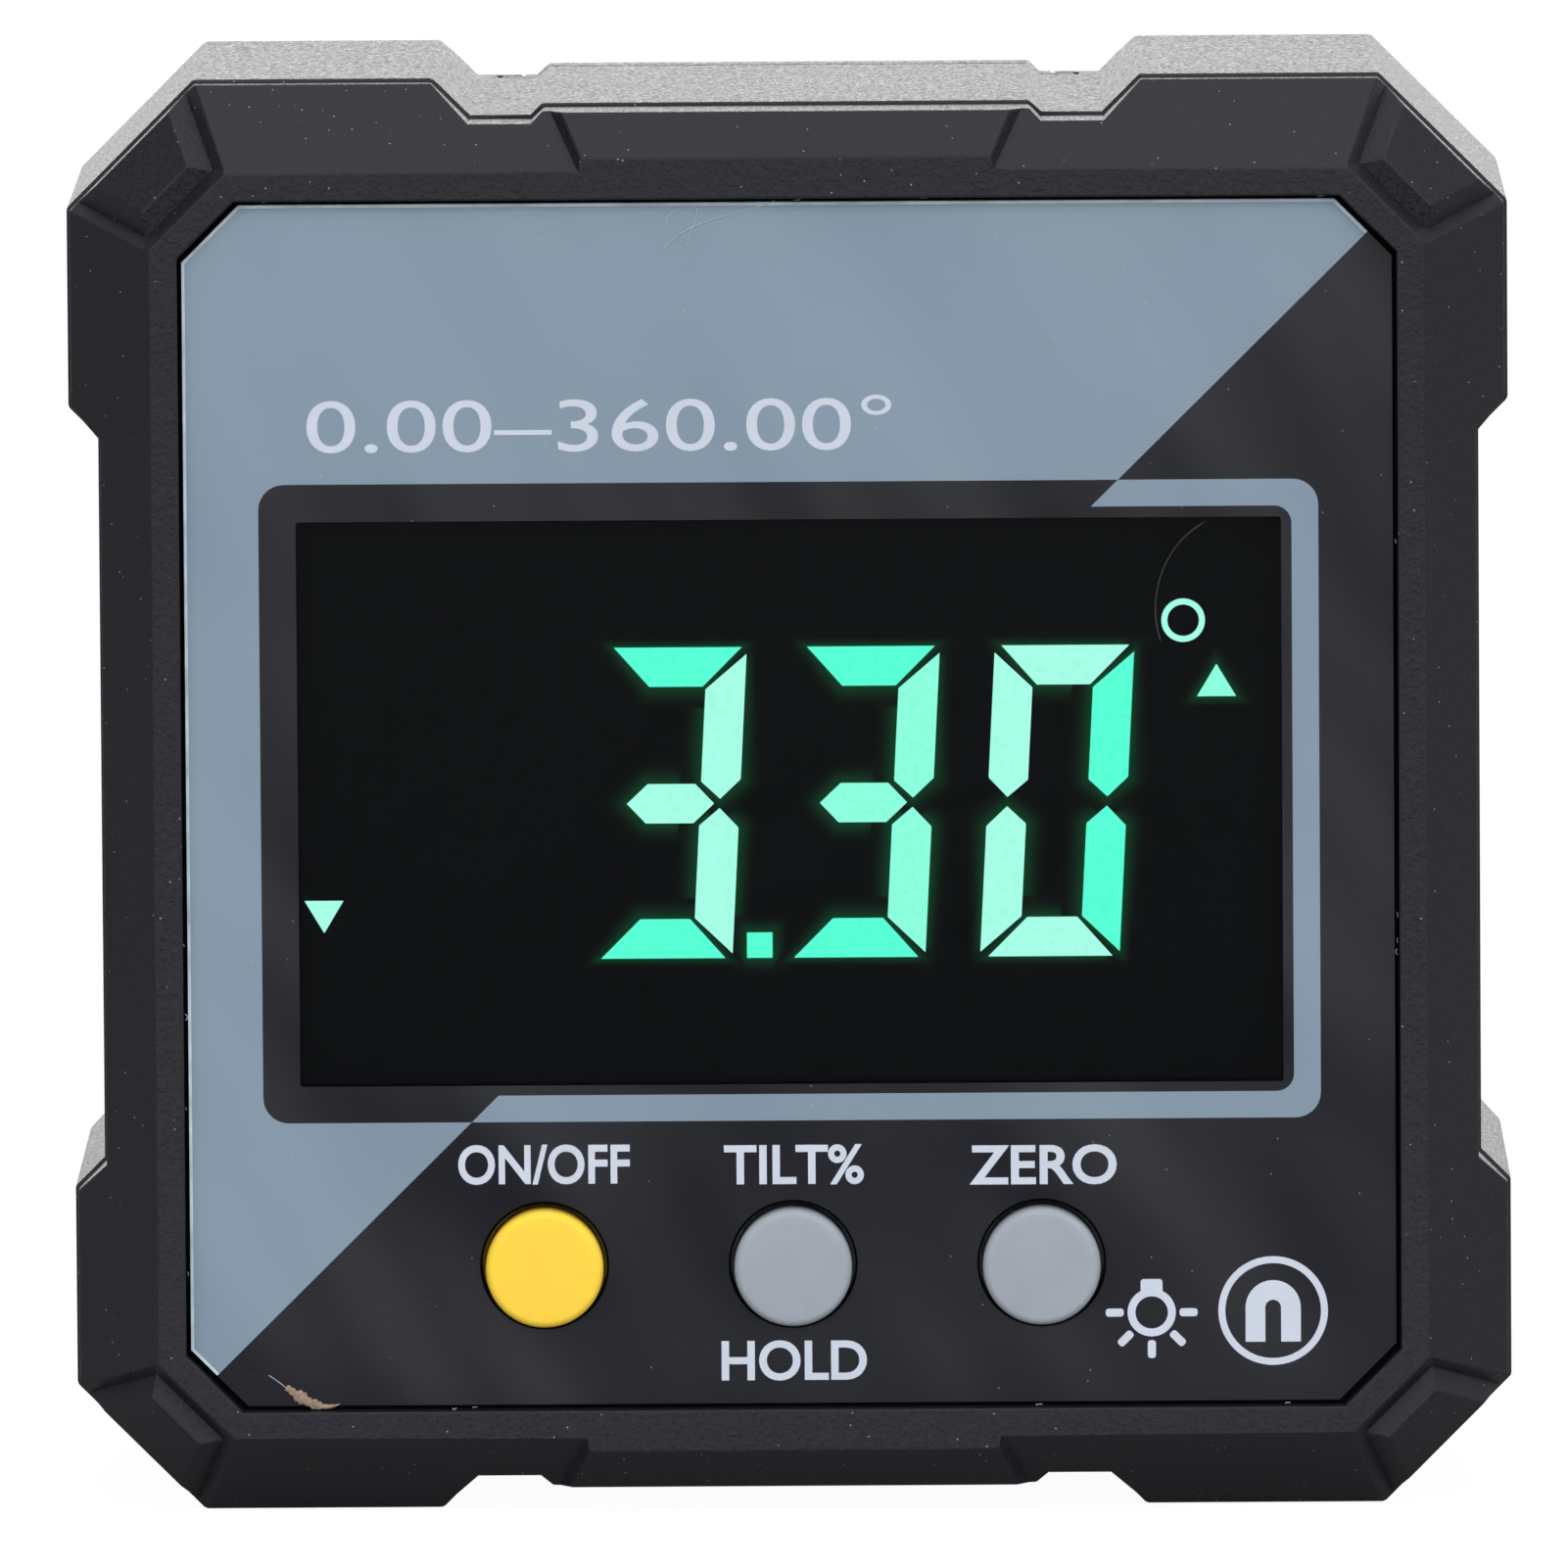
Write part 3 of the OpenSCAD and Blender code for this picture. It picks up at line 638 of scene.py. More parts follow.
@dataclass
class CaseShell:
    """Bezel, housing and door: the solids with their sharp moulded edges rounded.

    The seat is the span of depths of the floor that the film is stuck to, and how squarely it faces us.
    Its faces take a dead black adhesive finish: painted shade for the deep gaps round film and keys.
    """

    edge_mm: float = 0.13
    edge_steps: int = 3
    shortest_mm: float = 0.85
    weld_mm: float = 0.002
    flat_deg: float = 0.5
    fold_deg: float = 12.0
    seat: Pair = (1.0, 1.3)
    seat_facing: float = -0.99
    # The solid whose film seat gets the dead black finish, painted shade of the gaps round film and keys
    gap_shade_solid: str = "front_bezel"
    nodes: tuple[tuple[str, str], ...] = (
        ("front_bezel", "case"), ("rear_housing", "case"), ("battery_door", "door"),
    )

    def build(self) -> None:
        """Replaces each shell solid by a copy with rounded edges."""
        shell = SHELL.material()
        for node, body in self.nodes:
            # Only this solid gets the dead black seat finish: painted shade in the gaps round film and keys
            gap_shade = [ADHESIVE_GAP_SHADE.material()] if node == self.gap_shade_solid else []
            self._rounded(node, body, [shell, *gap_shade])

    def _rounded(self, node: str, body: str, materials: Sequence[Material]) -> None:
        """Copies a solid, joins its loose triangles into flat faces and rounds its long edges.

        Only faces of curved walls, whose edges bend a little, are shaded smooth.

        Args:
            node: the solid's name.
            body: the body that it belongs to.
            materials: the shell's finish, and where it has one, the dead black finish of the film's seat,
                which paints the shade of the gaps.
        """
        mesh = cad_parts[node].data.copy()
        mesh.name = node + "_moulding"
        mesh.materials.clear()
        for material in materials:
            mesh.materials.append(material)
        work = bmesh.new()
        work.from_mesh(mesh)
        flat, limit = math.radians(self.flat_deg), math.radians(self.fold_deg)
        bmesh.ops.remove_doubles(work, verts=work.verts, dist=self.weld_mm * MM)
        bmesh.ops.dissolve_limit(
            work, angle_limit=flat, verts=work.verts, edges=work.edges, delimit=set()
        )
        bends = {edge: edge.calc_face_angle(0.0) for edge in work.edges if edge.is_manifold}
        curved = work.faces.layers.int.new("curved")
        for edge, bend in bends.items():
            if flat < bend <= limit:
                for face in edge.link_faces:
                    face[curved] = 1
        bmesh.ops.bevel(
            work,
            geom=[
                edge for edge, bend in bends.items()
                if bend > limit and edge.is_convex and edge.calc_length() > self.shortest_mm * MM
            ],
            offset=self.edge_mm * MM, offset_type="OFFSET", segments=self.edge_steps, profile=0.5,
            affect="EDGES", clamp_overlap=True,
        )
        work.normal_update()
        for face in work.faces:
            depth = face.calc_center_median().y / MM + CASE_MID
            seat = self.seat[0] < depth < self.seat[1] and face.normal.y < self.seat_facing
            face.smooth = face[curved] == 1
            # Seat faces take the dead black finish: painted shade in the deep gaps round film and keys
            face.material_index = int(seat and len(materials) > 1)
        for edge in work.edges:
            edge.smooth = edge.calc_face_angle(0.0) <= limit
        work.to_mesh(mesh)
        work.free()
        piece = show(mesh, body)
        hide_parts(node)


class Ink(Enum):
    """What lies on the film at a place."""

    BLUE = 0
    CHARCOAL = 1
    # A pale band along the film's edge: painted highlight
    EDGE_HIGHLIGHT = 2
    CLEAR = 3


@dataclass
class FaceFilm:
    """Printed film on the face: two fields split by a diagonal, a display border, a clear window and, along
    the edges of the upper field, a pale band of painted highlight.
    """

    half: float = 25.95
    corner: float = 2.45
    front: float = 0.70
    thick: float = 0.38
    frame_half: Pair = (22.75, 13.8)
    frame_round: float = 1.1
    inner_round: float = 0.75
    frame_up: float = 0.1
    band: float = 1.15
    window_half: Pair = (21.15, 12.2)
    window_round: float = 0.12
    window_steps: int = 3
    window_up: float = 0.08
    cap_x: tuple[float, ...] = KEY_X
    cap_up: float = -19.92
    cap_hole: float = 2.78
    hole_steps: int = 64
    # Width of the pale band along the edges of the upper field: painted highlight
    highlight_rim: float = 0.13
    split_lean: float = 1.0125
    split_x: float = 0.083
    weld: float = 1e-5

    def outline(self, inward: float = 0.0) -> np.ndarray:
        """Film edge: a square with its corners cut.

        Args:
            inward: distance by which the line runs inside the edge.

        Returns:
            Rows of x and height, counter-clockwise.
        """
        h = self.half - inward
        c = self.corner - inward * (2.0 - math.sqrt(2.0))
        right = np.array([[h, c - h], [h, h - c], [h - c, h], [c - h, h]])
        return np.vstack([right, -right])

    def build(self) -> None:
        """Fills the film between all print edges, sorts the pieces by ink and thickens them."""
        lift = np.array([0.0, self.frame_up])
        inner_half = np.array(self.frame_half) - self.band
        loops = [
            self.outline(),
            self.outline(self.highlight_rim),
            round_box(*self.frame_half, self.frame_round) + lift,
            round_box(*inner_half, self.inner_round) + lift,
            round_box(*self.window_half, self.window_round, self.window_steps) + [0.0, self.window_up],
            *(ring_points((x, self.cap_up), self.cap_hole, self.hole_steps) for x in self.cap_x),
        ]
        edges: list[tuple[int, int]] = []
        start = 0
        for loop in loops:
            ring = range(start, start + len(loop))
            start = ring.stop
            edges += zip(ring, [*ring[1:], ring[0]])
        edges.append((start, start + 1))
        ends = np.array([-self.half, self.half])
        points = np.vstack([*loops, np.column_stack([self.split_lean * ends + self.split_x, ends])])
        co, _, tri, _, _, _ = delaunay_2d_cdt(
            [Vector(point) for point in points.tolist()], edges, [], 1, self.weld
        )
        flat = np.array([list(v) for v in co])
        tri = np.array([list(t) for t in tri if len(t) == 3])
        ink, hidden = self._ink(*flat[tri].mean(axis=1).T)
        clear = ink == Ink.CLEAR.value
        printed = ~hidden & ~clear
        # The third ink is the pale edge band: painted highlight
        inks = [INK_BLUE.material(), INK_CHARCOAL.material(), EDGE_HIGHLIGHT.material()]
        self._sheet("face_film_print", flat, tri[printed], ink[printed], inks, replaces="face_film")
        pane = [ClearPane().material()]
        self._sheet("face_film_window", flat, tri[clear], np.zeros(int(clear.sum())), pane)

    def _ink(self, x: np.ndarray, up: np.ndarray) -> tuple[np.ndarray, np.ndarray]:
        """Names the ink at each place.

        Args:
            x: distances to the right of the middle of the face.
            up: heights over it.

        Returns:
            Numbers of Ink, and whether the place lies in a hole or off the film.
        """
        lower = x > self.split_lean * up + self.split_x
        reach = np.column_stack([np.abs(x), np.abs(up - self.frame_up)]) - np.array(self.frame_half)
        in_outer, in_inner = (
            np.hypot(*np.maximum(reach + inset + radius, 0.0).T) < radius
            for inset, radius in ((0.0, self.frame_round), (self.band, self.inner_round))
        )
        in_window = (np.abs(x) < self.window_half[0]) & (np.abs(up - self.window_up) < self.window_half[1])
        cut = (2 * self.half - self.corner - np.abs(x) - np.abs(up)) / math.sqrt(2.0)
        inside = np.minimum(cut, self.half - np.maximum(np.abs(x), np.abs(up)))
        ink = np.where(lower, Ink.CHARCOAL.value, Ink.BLUE.value)
        for where, kind in (
            (in_outer, Ink.CHARCOAL),
            (in_outer & ~in_inner & lower, Ink.BLUE),
            (in_window, Ink.CLEAR),
            # Along the edges of the upper field: a pale band, painted highlight
            ((inside < self.highlight_rim) & ~lower, Ink.EDGE_HIGHLIGHT),
        ):
            ink[where] = kind.value
        holes = [np.hypot(x - cap, up - self.cap_up) < self.cap_hole for cap in self.cap_x]
        return ink, np.logical_or.reduce([*holes, inside < 0.0])

    def _sheet(
        self,
        name: str,
        flat: np.ndarray,
        tri: np.ndarray,
        ink: np.ndarray,
        materials: Sequence[Material],
        replaces: Optional[str] = None,
    ) -> None:
        """Makes one part of the film and gives it its thickness.

        Args:
            name: the piece's name.
            flat: all points of the face.
            tri: the triangles of this part.
            ink: the material number of each triangle.
            materials: the materials.
            replaces: the solid that this part stands for.
        """
        used, tri = np.unique(tri, return_inverse=True)
        tri = tri.reshape(-1, 3)
        a, b, c = (flat[used][tri[:, i]] for i in range(3))
        turn = (b - a)[:, 0] * (c - a)[:, 1] - (b - a)[:, 1] * (c - a)[:, 0]
        tri = np.where(turn[:, None] > 0, tri, tri[:, ::-1])
        place = face_point(flat[used], self.front)
        piece = add_piece(name, place, tri, materials, closed=False)
        piece.data.polygons.foreach_set("material_index", ink.astype(np.int32))
        wall = piece.modifiers.new("film_thickness", "SOLIDIFY")
        wall.thickness = self.thick * MM
        wall.offset = -1.0
        if replaces:
            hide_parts(replaces)


@dataclass
class Display:
    """Lit reading behind the window: seven-bar digits, a point, a degree ring and two pointers.

    Bars are outlines of one upright digit that stands on the origin, by letter, counter-clockwise. Lit
    rows hold a tone, the number of a digit and its bars. Marks are the point and the pointers.
    """

    depth: float = 1.86
    thick: float = 0.03
    slant: float = 0.053
    base_up: float = -6.78
    digit_x: tuple[float, ...] = (-8.53, -0.23, 8.13)
    halo_mm: float = 0.9
    halo_tip: float = 1.15
    halo_turn: float = 0.5
    halo_rows: int = 5
    halo_step: float = 0.0006
    halo_core: float = 0.97
    degree_at: Pair = (16.94, 7.71)
    degree_radii: Pair = (0.94, 0.68)
    degree_steps: int = 48
    bars: tuple[tuple[str, Outline], ...] = (
        ("a", ((0.28, 13.45), (1.88, 11.75), (4.18, 11.75), (5.78, 13.45))),
        ("b", ((6.0, 13.15), (4.3, 11.63), (4.3, 7.645), (5.15, 6.895), (6.0, 7.745))),
        ("c", ((6.0, 5.645), (5.15, 6.495), (4.3, 5.745), (4.3, 1.74), (6.0, 0.2))),
        ("d", ((5.7, 0.0), (4.1, 1.7), (1.95, 1.7), (0.35, 0.0))),
        ("e", ((0.0, 0.2), (1.7, 1.74), (1.7, 5.745), (0.85, 6.495), (0.0, 5.645))),
        ("f", ((0.0, 7.745), (0.85, 6.895), (1.7, 7.645), (1.7, 11.63), (0.0, 13.15))),
        ("g", ((1.15, 6.695), (2.0, 5.845), (4.05, 5.845), (4.9, 6.695), (4.05, 7.545), (2.0, 7.545))),
    )
    lit: tuple[tuple[Tone, int, str], ...] = (
        (Tone.DEEP, 0, "ad"), (Tone.PALE, 0, "bcg"),
        (Tone.DEEP, 1, "ad"), (Tone.MIDDLE, 1, "bcg"),
        (Tone.DEEP, 2, "bc"), (Tone.PALE, 2, "adef"),
    )
    marks: tuple[tuple[Tone, Outline], ...] = (
        (Tone.DEEP, ((-1.9, -6.78), (-0.8, -6.78), (-0.8, -5.68), (-1.9, -5.68))),
        (Tone.MIDDLE, ((17.52, 4.42), (19.2, 4.42), (18.36, 5.82))),
        (Tone.PALE, ((-20.93, -4.2), (-20.09, -5.6), (-19.25, -4.2))),
    )

    def build(self) -> None:
        """Draws every lit area as a thin plate on the glass, grouped by tone."""
        groups: dict[Tone, list[np.ndarray]] = {tone: [] for tone in Tone}
        bars = dict(self.bars)
        for tone, number, letters in self.lit:
            for letter in letters:
                shape = np.array(bars[letter])
                shape[:, 0] += self.digit_x[number] + self.slant * shape[:, 1]
                shape[:, 1] += self.base_up
                groups[tone].append(shape)
        for tone, outline in self.marks:
            groups[tone].append(np.array(outline))
        for tone, shapes in groups.items():
            layer = Layer(self.depth, self.thick, tone.value.material(), "display")
            layer.plate(f"display_lit_{tone.name.lower()}", shapes)
        ring = [ring_points(self.degree_at, radius, self.degree_steps) for radius in self.degree_radii]
        layer = Layer(self.depth, self.thick, Tone.PALE.value.material(), "display")
        layer.hoop("display_degree_ring", ring)
        edges = [(shape, self.halo_mm) for shapes in groups.values() for shape in shapes]
        core = -self.halo_core * self.degree_radii[1]
        self._halo([*edges, *zip(ring, (self.halo_mm, core))])

    def _halo(self, edges: Sequence[tuple[np.ndarray, float]]) -> None:
        """Stray light round the lit areas: a flat skirt from each outline out to an even distance.

        Every outline is carried along the mitre of its two edges in a few rows; the light falls with the
        square of the distance, kept as a point attribute. Long mitres are cut short, so that sharp tips
        keep a round glow. Each skirt lies a hair behind the one before it.

        Args:
            edges: outlines of the lit areas, each with how far its light strays, inwards where negative.
        """
        rows = np.linspace(0.0, 1.0, self.halo_rows)
        blocks, glow, faces, start = [], [], [], 0
        for number, (shape, reach) in enumerate(edges):
            following = np.roll(shape, -1, axis=0)
            ahead = following - shape
            ahead = ahead / np.linalg.norm(ahead, axis=1, keepdims=True)
            area = np.sum(shape[:, 0] * following[:, 1] - shape[:, 1] * following[:, 0])
            side = np.column_stack([ahead[:, 1], -ahead[:, 0]]) * np.sign(area)
            before = np.roll(side, 1, axis=0)
            turn = 1.0 + np.sum(side * before, axis=1, keepdims=True)
            mitre = (side + before) / np.maximum(turn, self.halo_turn)
            mitre = mitre / np.maximum(np.linalg.norm(mitre, axis=1, keepdims=True) / self.halo_tip, 1.0)
            spread = shape + rows[:, None, None] * reach * mitre
            depth = self.depth + self.thick + number * self.halo_step
            blocks.append(face_point(spread.reshape(-1, 2), depth))
            glow.append(np.repeat((1.0 - rows) ** 2, len(shape)))
            faces.append(ring_quads(len(rows), len(shape), start))
            start += len(rows) * len(shape)
        material = STRAY_GREEN.material()
        piece = add_piece(
            "display_halo", np.vstack(blocks), np.vstack(faces), [material], closed=False
        )
        level = piece.data.attributes.new(STRAY_GREEN.fade, "FLOAT", "POINT")
        level.data.foreach_set("value", np.concatenate(glow))


@dataclass
class FaceLettering:
    """White print on the film: plain words for the keys, a number range and two plain signs.

    Each word has a key, its letters, how much its strokes are widened, its left and right edges, and the
    lower and upper edges of its capitals. Sizes of the signs are measured from their middles.
    """

    depth: float = 0.685
    thick: float = 0.014
    extrude: float = 0.01
    curve_steps: int = 6
    words: tuple[tuple[str, str, float, Pair, Pair], ...] = (
        ("range", "0.00–360.00°", 0.0, (-20.65, 4.46), (15.25, 17.63)),
        ("power", "ON/OFF", 0.021, (-14.39, -7.0), (-16.41, -14.68)),
        ("tilt", "TILT%", 0.021, (-2.95, 3.07), (-16.48, -14.74)),
        ("zero", "ZERO", 0.021, (7.61, 13.95), (-16.55, -14.81)),
        ("hold", "HOLD", 0.021, (-3.11, 3.15), (-24.98, -23.23)),
    )
    lamp_at: Pair = (15.42, -22.12)
    bulb_radii: Pair = (1.04, 0.7)
    bulb_steps: int = 40
    socket: Outline = ((0.47, 1.36), (0.38, 1.45), (-0.38, 1.45), (-0.47, 1.36))
    socket_deg: Pair = (117.0, 63.0)
    socket_steps: int = 12
    ray_half: Pair = (0.39, 0.175)
    ray_round: float = 0.13
    ray_steps: int = 4
    ray_out: float = 1.59
    ray_deg: tuple[float, ...] = (180.0, 225.0, 270.0, 315.0, 360.0)
    magnet_at: Pair = (20.65, -22.07)
    ring_radii: Pair = (2.36, 2.06)
    ring_steps: int = 64
    shoe_radii: Pair = (1.19, 0.34)
    shoe_up: float = 0.13
    shoe_low: float = -1.35
    shoe_steps: int = 24

    def build(self) -> None:
        """Sets the words and draws the two signs."""
        layer = Layer(self.depth, self.thick, INK_WHITE.material(), "film")
        for key, text, bold, across, up in self.words:
            self._word("print_" + key, text, bold, across, up, layer.material)
        self._lamp(layer)
        self._magnet(layer)

    def _word(
        self,
        name: str,
        text: str,
        bold: float,
        across: Pair,
        up: Pair,
        material: Material,
    ) -> None:
        """Turns a word into a thin plate that fills a box on the face.

        Args:
            name: the piece's name.
            text: the letters.
            bold: how much the strokes are widened, as a share of the letter size.
            across: left and right edges, in millimetres.
            up: lower and upper edges of the capitals, in millimetres.
            material: the ink.
        """
        curve = bpy.data.curves.new(name, "FONT")
        curve.body = text
        curve.offset = bold
        curve.extrude = self.extrude
        curve.resolution_u = self.curve_steps
        helper = bpy.data.objects.new(name + "_text", curve)
        bpy.context.scene.collection.objects.link(helper)
        bpy.context.view_layer.update()
        mesh = bpy.data.meshes.new_from_object(helper.evaluated_get(bpy.context.evaluated_depsgraph_get()))
        bpy.data.objects.remove(helper)
        mesh.name = name
        co = np.zeros(len(mesh.vertices) * 3)
        mesh.vertices.foreach_get("co", co)
        co = co.reshape(-1, 3)
        low, high = co.min(axis=0), co.max(axis=0)
        share = (co - low) / (high - low)
        flat = np.column_stack([across[0] + share[:, 0] * np.ptp(across), up[0] + share[:, 1] * np.ptp(up)])
        place = face_point(flat, self.depth + (1.0 - share[:, 2]) * self.thick)
        mesh.vertices.foreach_set("co", place.ravel())
        mesh.materials.clear()
        mesh.materials.append(material)
        mesh.update()
        turn_outwards(mesh)
        show(mesh, "case")

    def _lamp(self, layer: Layer) -> None:
        """Lamp sign: a ring for the bulb, a cap above it and five round-ended rays around its lower half.

        Args:
            layer: the layer of ink.
        """
        centre = np.array(self.lamp_at)
        bulb = [ring_points(centre, radius, self.bulb_steps) for radius in self.bulb_radii]
        layer.hoop("print_lamp_bulb", bulb)
        arc = np.radians(np.linspace(*self.socket_deg, self.socket_steps))
        seat = self.bulb_radii[0] * np.column_stack([np.cos(arc), np.sin(arc)])
        shapes = [np.vstack([seat, self.socket]) + centre]
        for angle in np.radians(self.ray_deg):
            along = np.array([np.cos(angle), np.sin(angle)])
            turn = np.array([along, [-along[1], along[0]]])
            ray = round_box(*self.ray_half, self.ray_round, self.ray_steps) @ turn
            shapes.append(ray + centre + along * self.ray_out)
        layer.plate("print_lamp_rays", shapes)

    def _magnet(self, layer: Layer) -> None:
        """Magnet sign: a horseshoe, a half ring on two legs, inside a round ring.

        Args:
            layer: the layer of ink.
        """
        centre = np.array(self.magnet_at)
        ring = [ring_points(centre, radius, self.ring_steps) for radius in self.ring_radii]
        layer.hoop("print_magnet_ring", ring)
        turn = np.linspace(0.0, np.pi, self.shoe_steps)
        arch = np.column_stack([np.cos(turn), np.sin(turn)])
        sides = []
        for radius in self.shoe_radii:
            legs = np.array([[radius, self.shoe_low], [-radius, self.shoe_low]])
            sides.append(np.vstack([legs[:1], radius * arch + np.array([0.0, self.shoe_up]), legs[1:]]))
        shoe = np.vstack([sides[0], sides[1][::-1]]) + centre
        layer.plate("print_magnet", [shoe])


@dataclass
class KeyCap:
    """One round push button, turned from a profile with a soft edge and a barely crowned face."""

    name: str
    node: str
    body: str
    slot: str
    x: float
    finish: Finish
    up: float = -20.05
    radius: float = 2.535
    edge: float = 0.34
    front: float = 0.05
    crown: float = 0.05
    flange: float = 3.45
    flange_front: float = 2.65
    flange_back: float = 3.45
    stem: float = 1.3
    back: float = 4.05
    steps: int = 96
    curve_steps: int = 10
    fold_deg: float = 50.0

    def profile(self) -> np.ndarray:
        """Half section: a shallow crown, a quarter round edge, a straight skirt, a flange and a stem.

        Returns:
            Rows of radius and depth, from the middle of the face to the back.
        """
        core = self.radius - self.edge
        span = np.linspace(0.0, core, self.curve_steps)
        crown = np.column_stack([span, self.front + self.crown * (span / core) ** 2])
        turn = np.linspace(0.0, np.pi / 2, self.curve_steps)[1:]
        start = self.front + self.crown
        edge = np.column_stack([core + self.edge * np.sin(turn), start + self.edge * (1 - np.cos(turn))])
        rest = np.array([
            [self.radius, self.flange_front], [self.flange, self.flange_front],
            [self.flange, self.flange_back], [self.stem, self.flange_back],
            [self.stem, self.back], [0.0, self.back],
        ])
        return np.vstack([crown, edge, rest])

    def build(self) -> None:
        """Turns the profile: each point runs round the axis at its own radius."""
        section = self.profile()
        inner = section[1:-1]
        wheel = ring_points((0.0, 0.0), 1.0, self.steps)
        axis = np.array([[self.x, self.up]])
        flat = (inner[:, :1, None] * wheel).reshape(-1, 2) + axis
        body = face_point(flat, np.repeat(inner[:, 1], self.steps))
        poles = [face_point(axis, end) for end in section[[0, -1], 1]]
        first = np.arange(self.steps)
        after = np.roll(first, -1)
        last = len(body) - self.steps
        faces = ring_quads(len(inner), self.steps).tolist()
        faces += [(len(body), b, a) for a, b in zip(first, after)]
        faces += [(len(body) + 1, last + a, last + b) for a, b in zip(first, after)]
        points = np.vstack([body, *poles])
        look = [self.finish.material()]
        piece = add_piece(self.name, points, faces, look, self.body, smooth=True)
        piece.data.set_sharp_from_angle(angle=math.radians(self.fold_deg))
        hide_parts(self.node)


@dataclass
class Dirt:
    """Loose dirt on the face: pale fibres, a hair over the window, lint in the film's gap and a dry flake.

    Paths are places on the face; spans of lint hold the least and the greatest chance value.
    """

    depth: float = 0.66
    sides: int = 8
    steps: int = 36
    path_order: int = 3
    fibre: float = 0.015
    fibres: tuple[Outline, ...] = (
        ((-5.27, 23.95), (-4.71, 24.55), (-3.98, 24.91), (-2.99, 25.23), (-1.92, 25.52), (-1.36, 25.78),
         (-0.46, 26.0)),
        ((-3.82, 25.73), (-3.89, 25.24), (-4.04, 24.81), (-4.28, 24.06)),
        ((-4.61, 25.69), (-5.0, 25.41), (-5.13, 24.94)),
        ((-22.62, -24.62), (-22.3, -24.83), (-21.9, -25.15)),
    )
    hair: Outline = (
        (17.86, 12.03), (16.91, 11.35), (16.22, 10.32), (15.87, 9.28), (15.74, 8.29), (15.78, 7.52),
        (15.99, 6.91),
    )
    hair_thick: float = 0.014
    flake: Outline = (
        (-21.88, -25.12), (-21.4, -25.45), (-20.9, -25.8), (-20.3, -25.95), (-19.55, -25.86),
    )
    flake_half: tuple[float, ...] = (0.1, 0.27, 0.23, 0.13, 0.02)
    flake_thick: float = 0.07
    flake_depth: float = 0.56
    crumples: tuple[Triple, ...] = ((0.16, 1.7, 0.0), (0.18, 0.63, 1.0))
    lint_seed: int = 7
    lint_count: int = 16
    lint_gap: float = 26.06
    lint_depth: float = 0.61
    lint_along: Pair = (-23.0, 23.0)
    lint_length: Pair = (0.1, 0.3)
    lint_bend: Pair = (-0.08, 0.08)
    lint_end: float = 0.02
    lint_thick: Pair = (0.008, 0.016)

    def build(self) -> None:
        """Lays all loose dirt on the film and in the gap around it."""
        plain, thin = (np.full(self.steps, thick) for thick in (self.fibre, self.hair_thick))
        strands = [self.strand(path, plain, plain, self.depth) for path in self.fibres]
        self._join("dirt_fibres", [*strands, *self._lint()], FIBRE_PALE)
        self._join("dirt_hair", [self.strand(self.hair, thin, thin, self.depth)], HAIR_GREY)
        knots = np.linspace(0, 1, len(self.flake_half))
        half = np.interp(np.linspace(0, 1, self.steps), knots, self.flake_half)
        way = np.arange(self.steps)
        crumple = 1.0 + sum(high * np.sin(way * rate + begin) for high, rate, begin in self.crumples)
        thick = np.minimum(half, self.flake_thick)
        flake = self.strand(self.flake, half * crumple, thick, self.flake_depth)
        self._join("dirt_flake", [flake], FLAKE_TAN)

    def _lint(self) -> list[tuple[np.ndarray, np.ndarray]]:
        """Short curled bits along the film's gap, at fixed chance places on its four sides.

        Returns:
            Points and faces of each bit.
        """
        chance = np.random.default_rng(self.lint_seed)
        bits = []
        for number in range(self.lint_count):
            along = chance.uniform(*self.lint_along)
            length, bend = chance.uniform(*self.lint_length), chance.uniform(*self.lint_bend)
            rows = np.array([[along, 0.0], [along + length / 2, bend], [along + length, self.lint_end]])
            rows[:, 1] += self.lint_gap
            turn = number % 4 * np.pi / 2
            spin = np.array([[np.cos(turn), np.sin(turn)], [-np.sin(turn), np.cos(turn)]])
            thick = np.full(self.steps, chance.uniform(*self.lint_thick))
            bits.append(self.strand(rows @ spin, thick, thick, self.lint_depth))
        return bits

    def strand(
        self, path: Sequence[Sequence[float]], wide: np.ndarray, thick: np.ndarray, depth: float
    ) -> tuple[np.ndarray, np.ndarray]:
        """Carries an oval along a path: x and height are cubic curves of the way along it.

        Each ring holds points at wide times the cosine across the path and thick times the sine off the
        face.

        Args:
            path: places on the face, in millimetres.
            wide: half width at every step.
            thick: half thickness at every step.
            depth: depth of the middle of the strand.

        Returns:
            Points in metres and four-cornered faces.
        """
        knots = np.asarray(path, float)
        way = np.concatenate([[0.0], np.cumsum(np.linalg.norm(np.diff(knots, axis=0), axis=1))])
        share = np.linspace(0.0, way[-1], self.steps)
        order = min(self.path_order, len(knots) - 1)
        middle = np.column_stack([np.polyval(np.polyfit(way, line, order), share) for line in knots.T])
        ahead = np.gradient(middle, axis=0)
        ahead = ahead / np.linalg.norm(ahead, axis=1, keepdims=True)
        across = np.column_stack([-ahead[:, 1], ahead[:, 0]])
        wheel = ring_points((0.0, 0.0), 1.0, self.sides)
        flat = middle[:, None] + wide[:, None, None] * wheel[:, :1] * across[:, None]
        off = depth + thick[:, None] * wheel[:, 1]
        return face_point(flat.reshape(-1, 2), off.ravel()), ring_quads(self.steps, self.sides)

    def _join(self, name: str, strands: Sequence[tuple[np.ndarray, np.ndarray]], finish: Finish) -> None:
        """Puts strands into one piece and closes their ends.

        Args:
            name: the piece's name.
            strands: points and faces of each strand.
            finish: the piece's finish.
        """
        points, faces, start = [], [], 0
        ring = np.arange(self.sides)
        for place, quads in strands:
            points.append(place)
            faces += [*(quads + start), ring[::-1] + start, ring + start + len(place) - self.sides]
            start += len(place)
        add_piece(name, np.vstack(points), faces, [finish.material()], smooth=True)


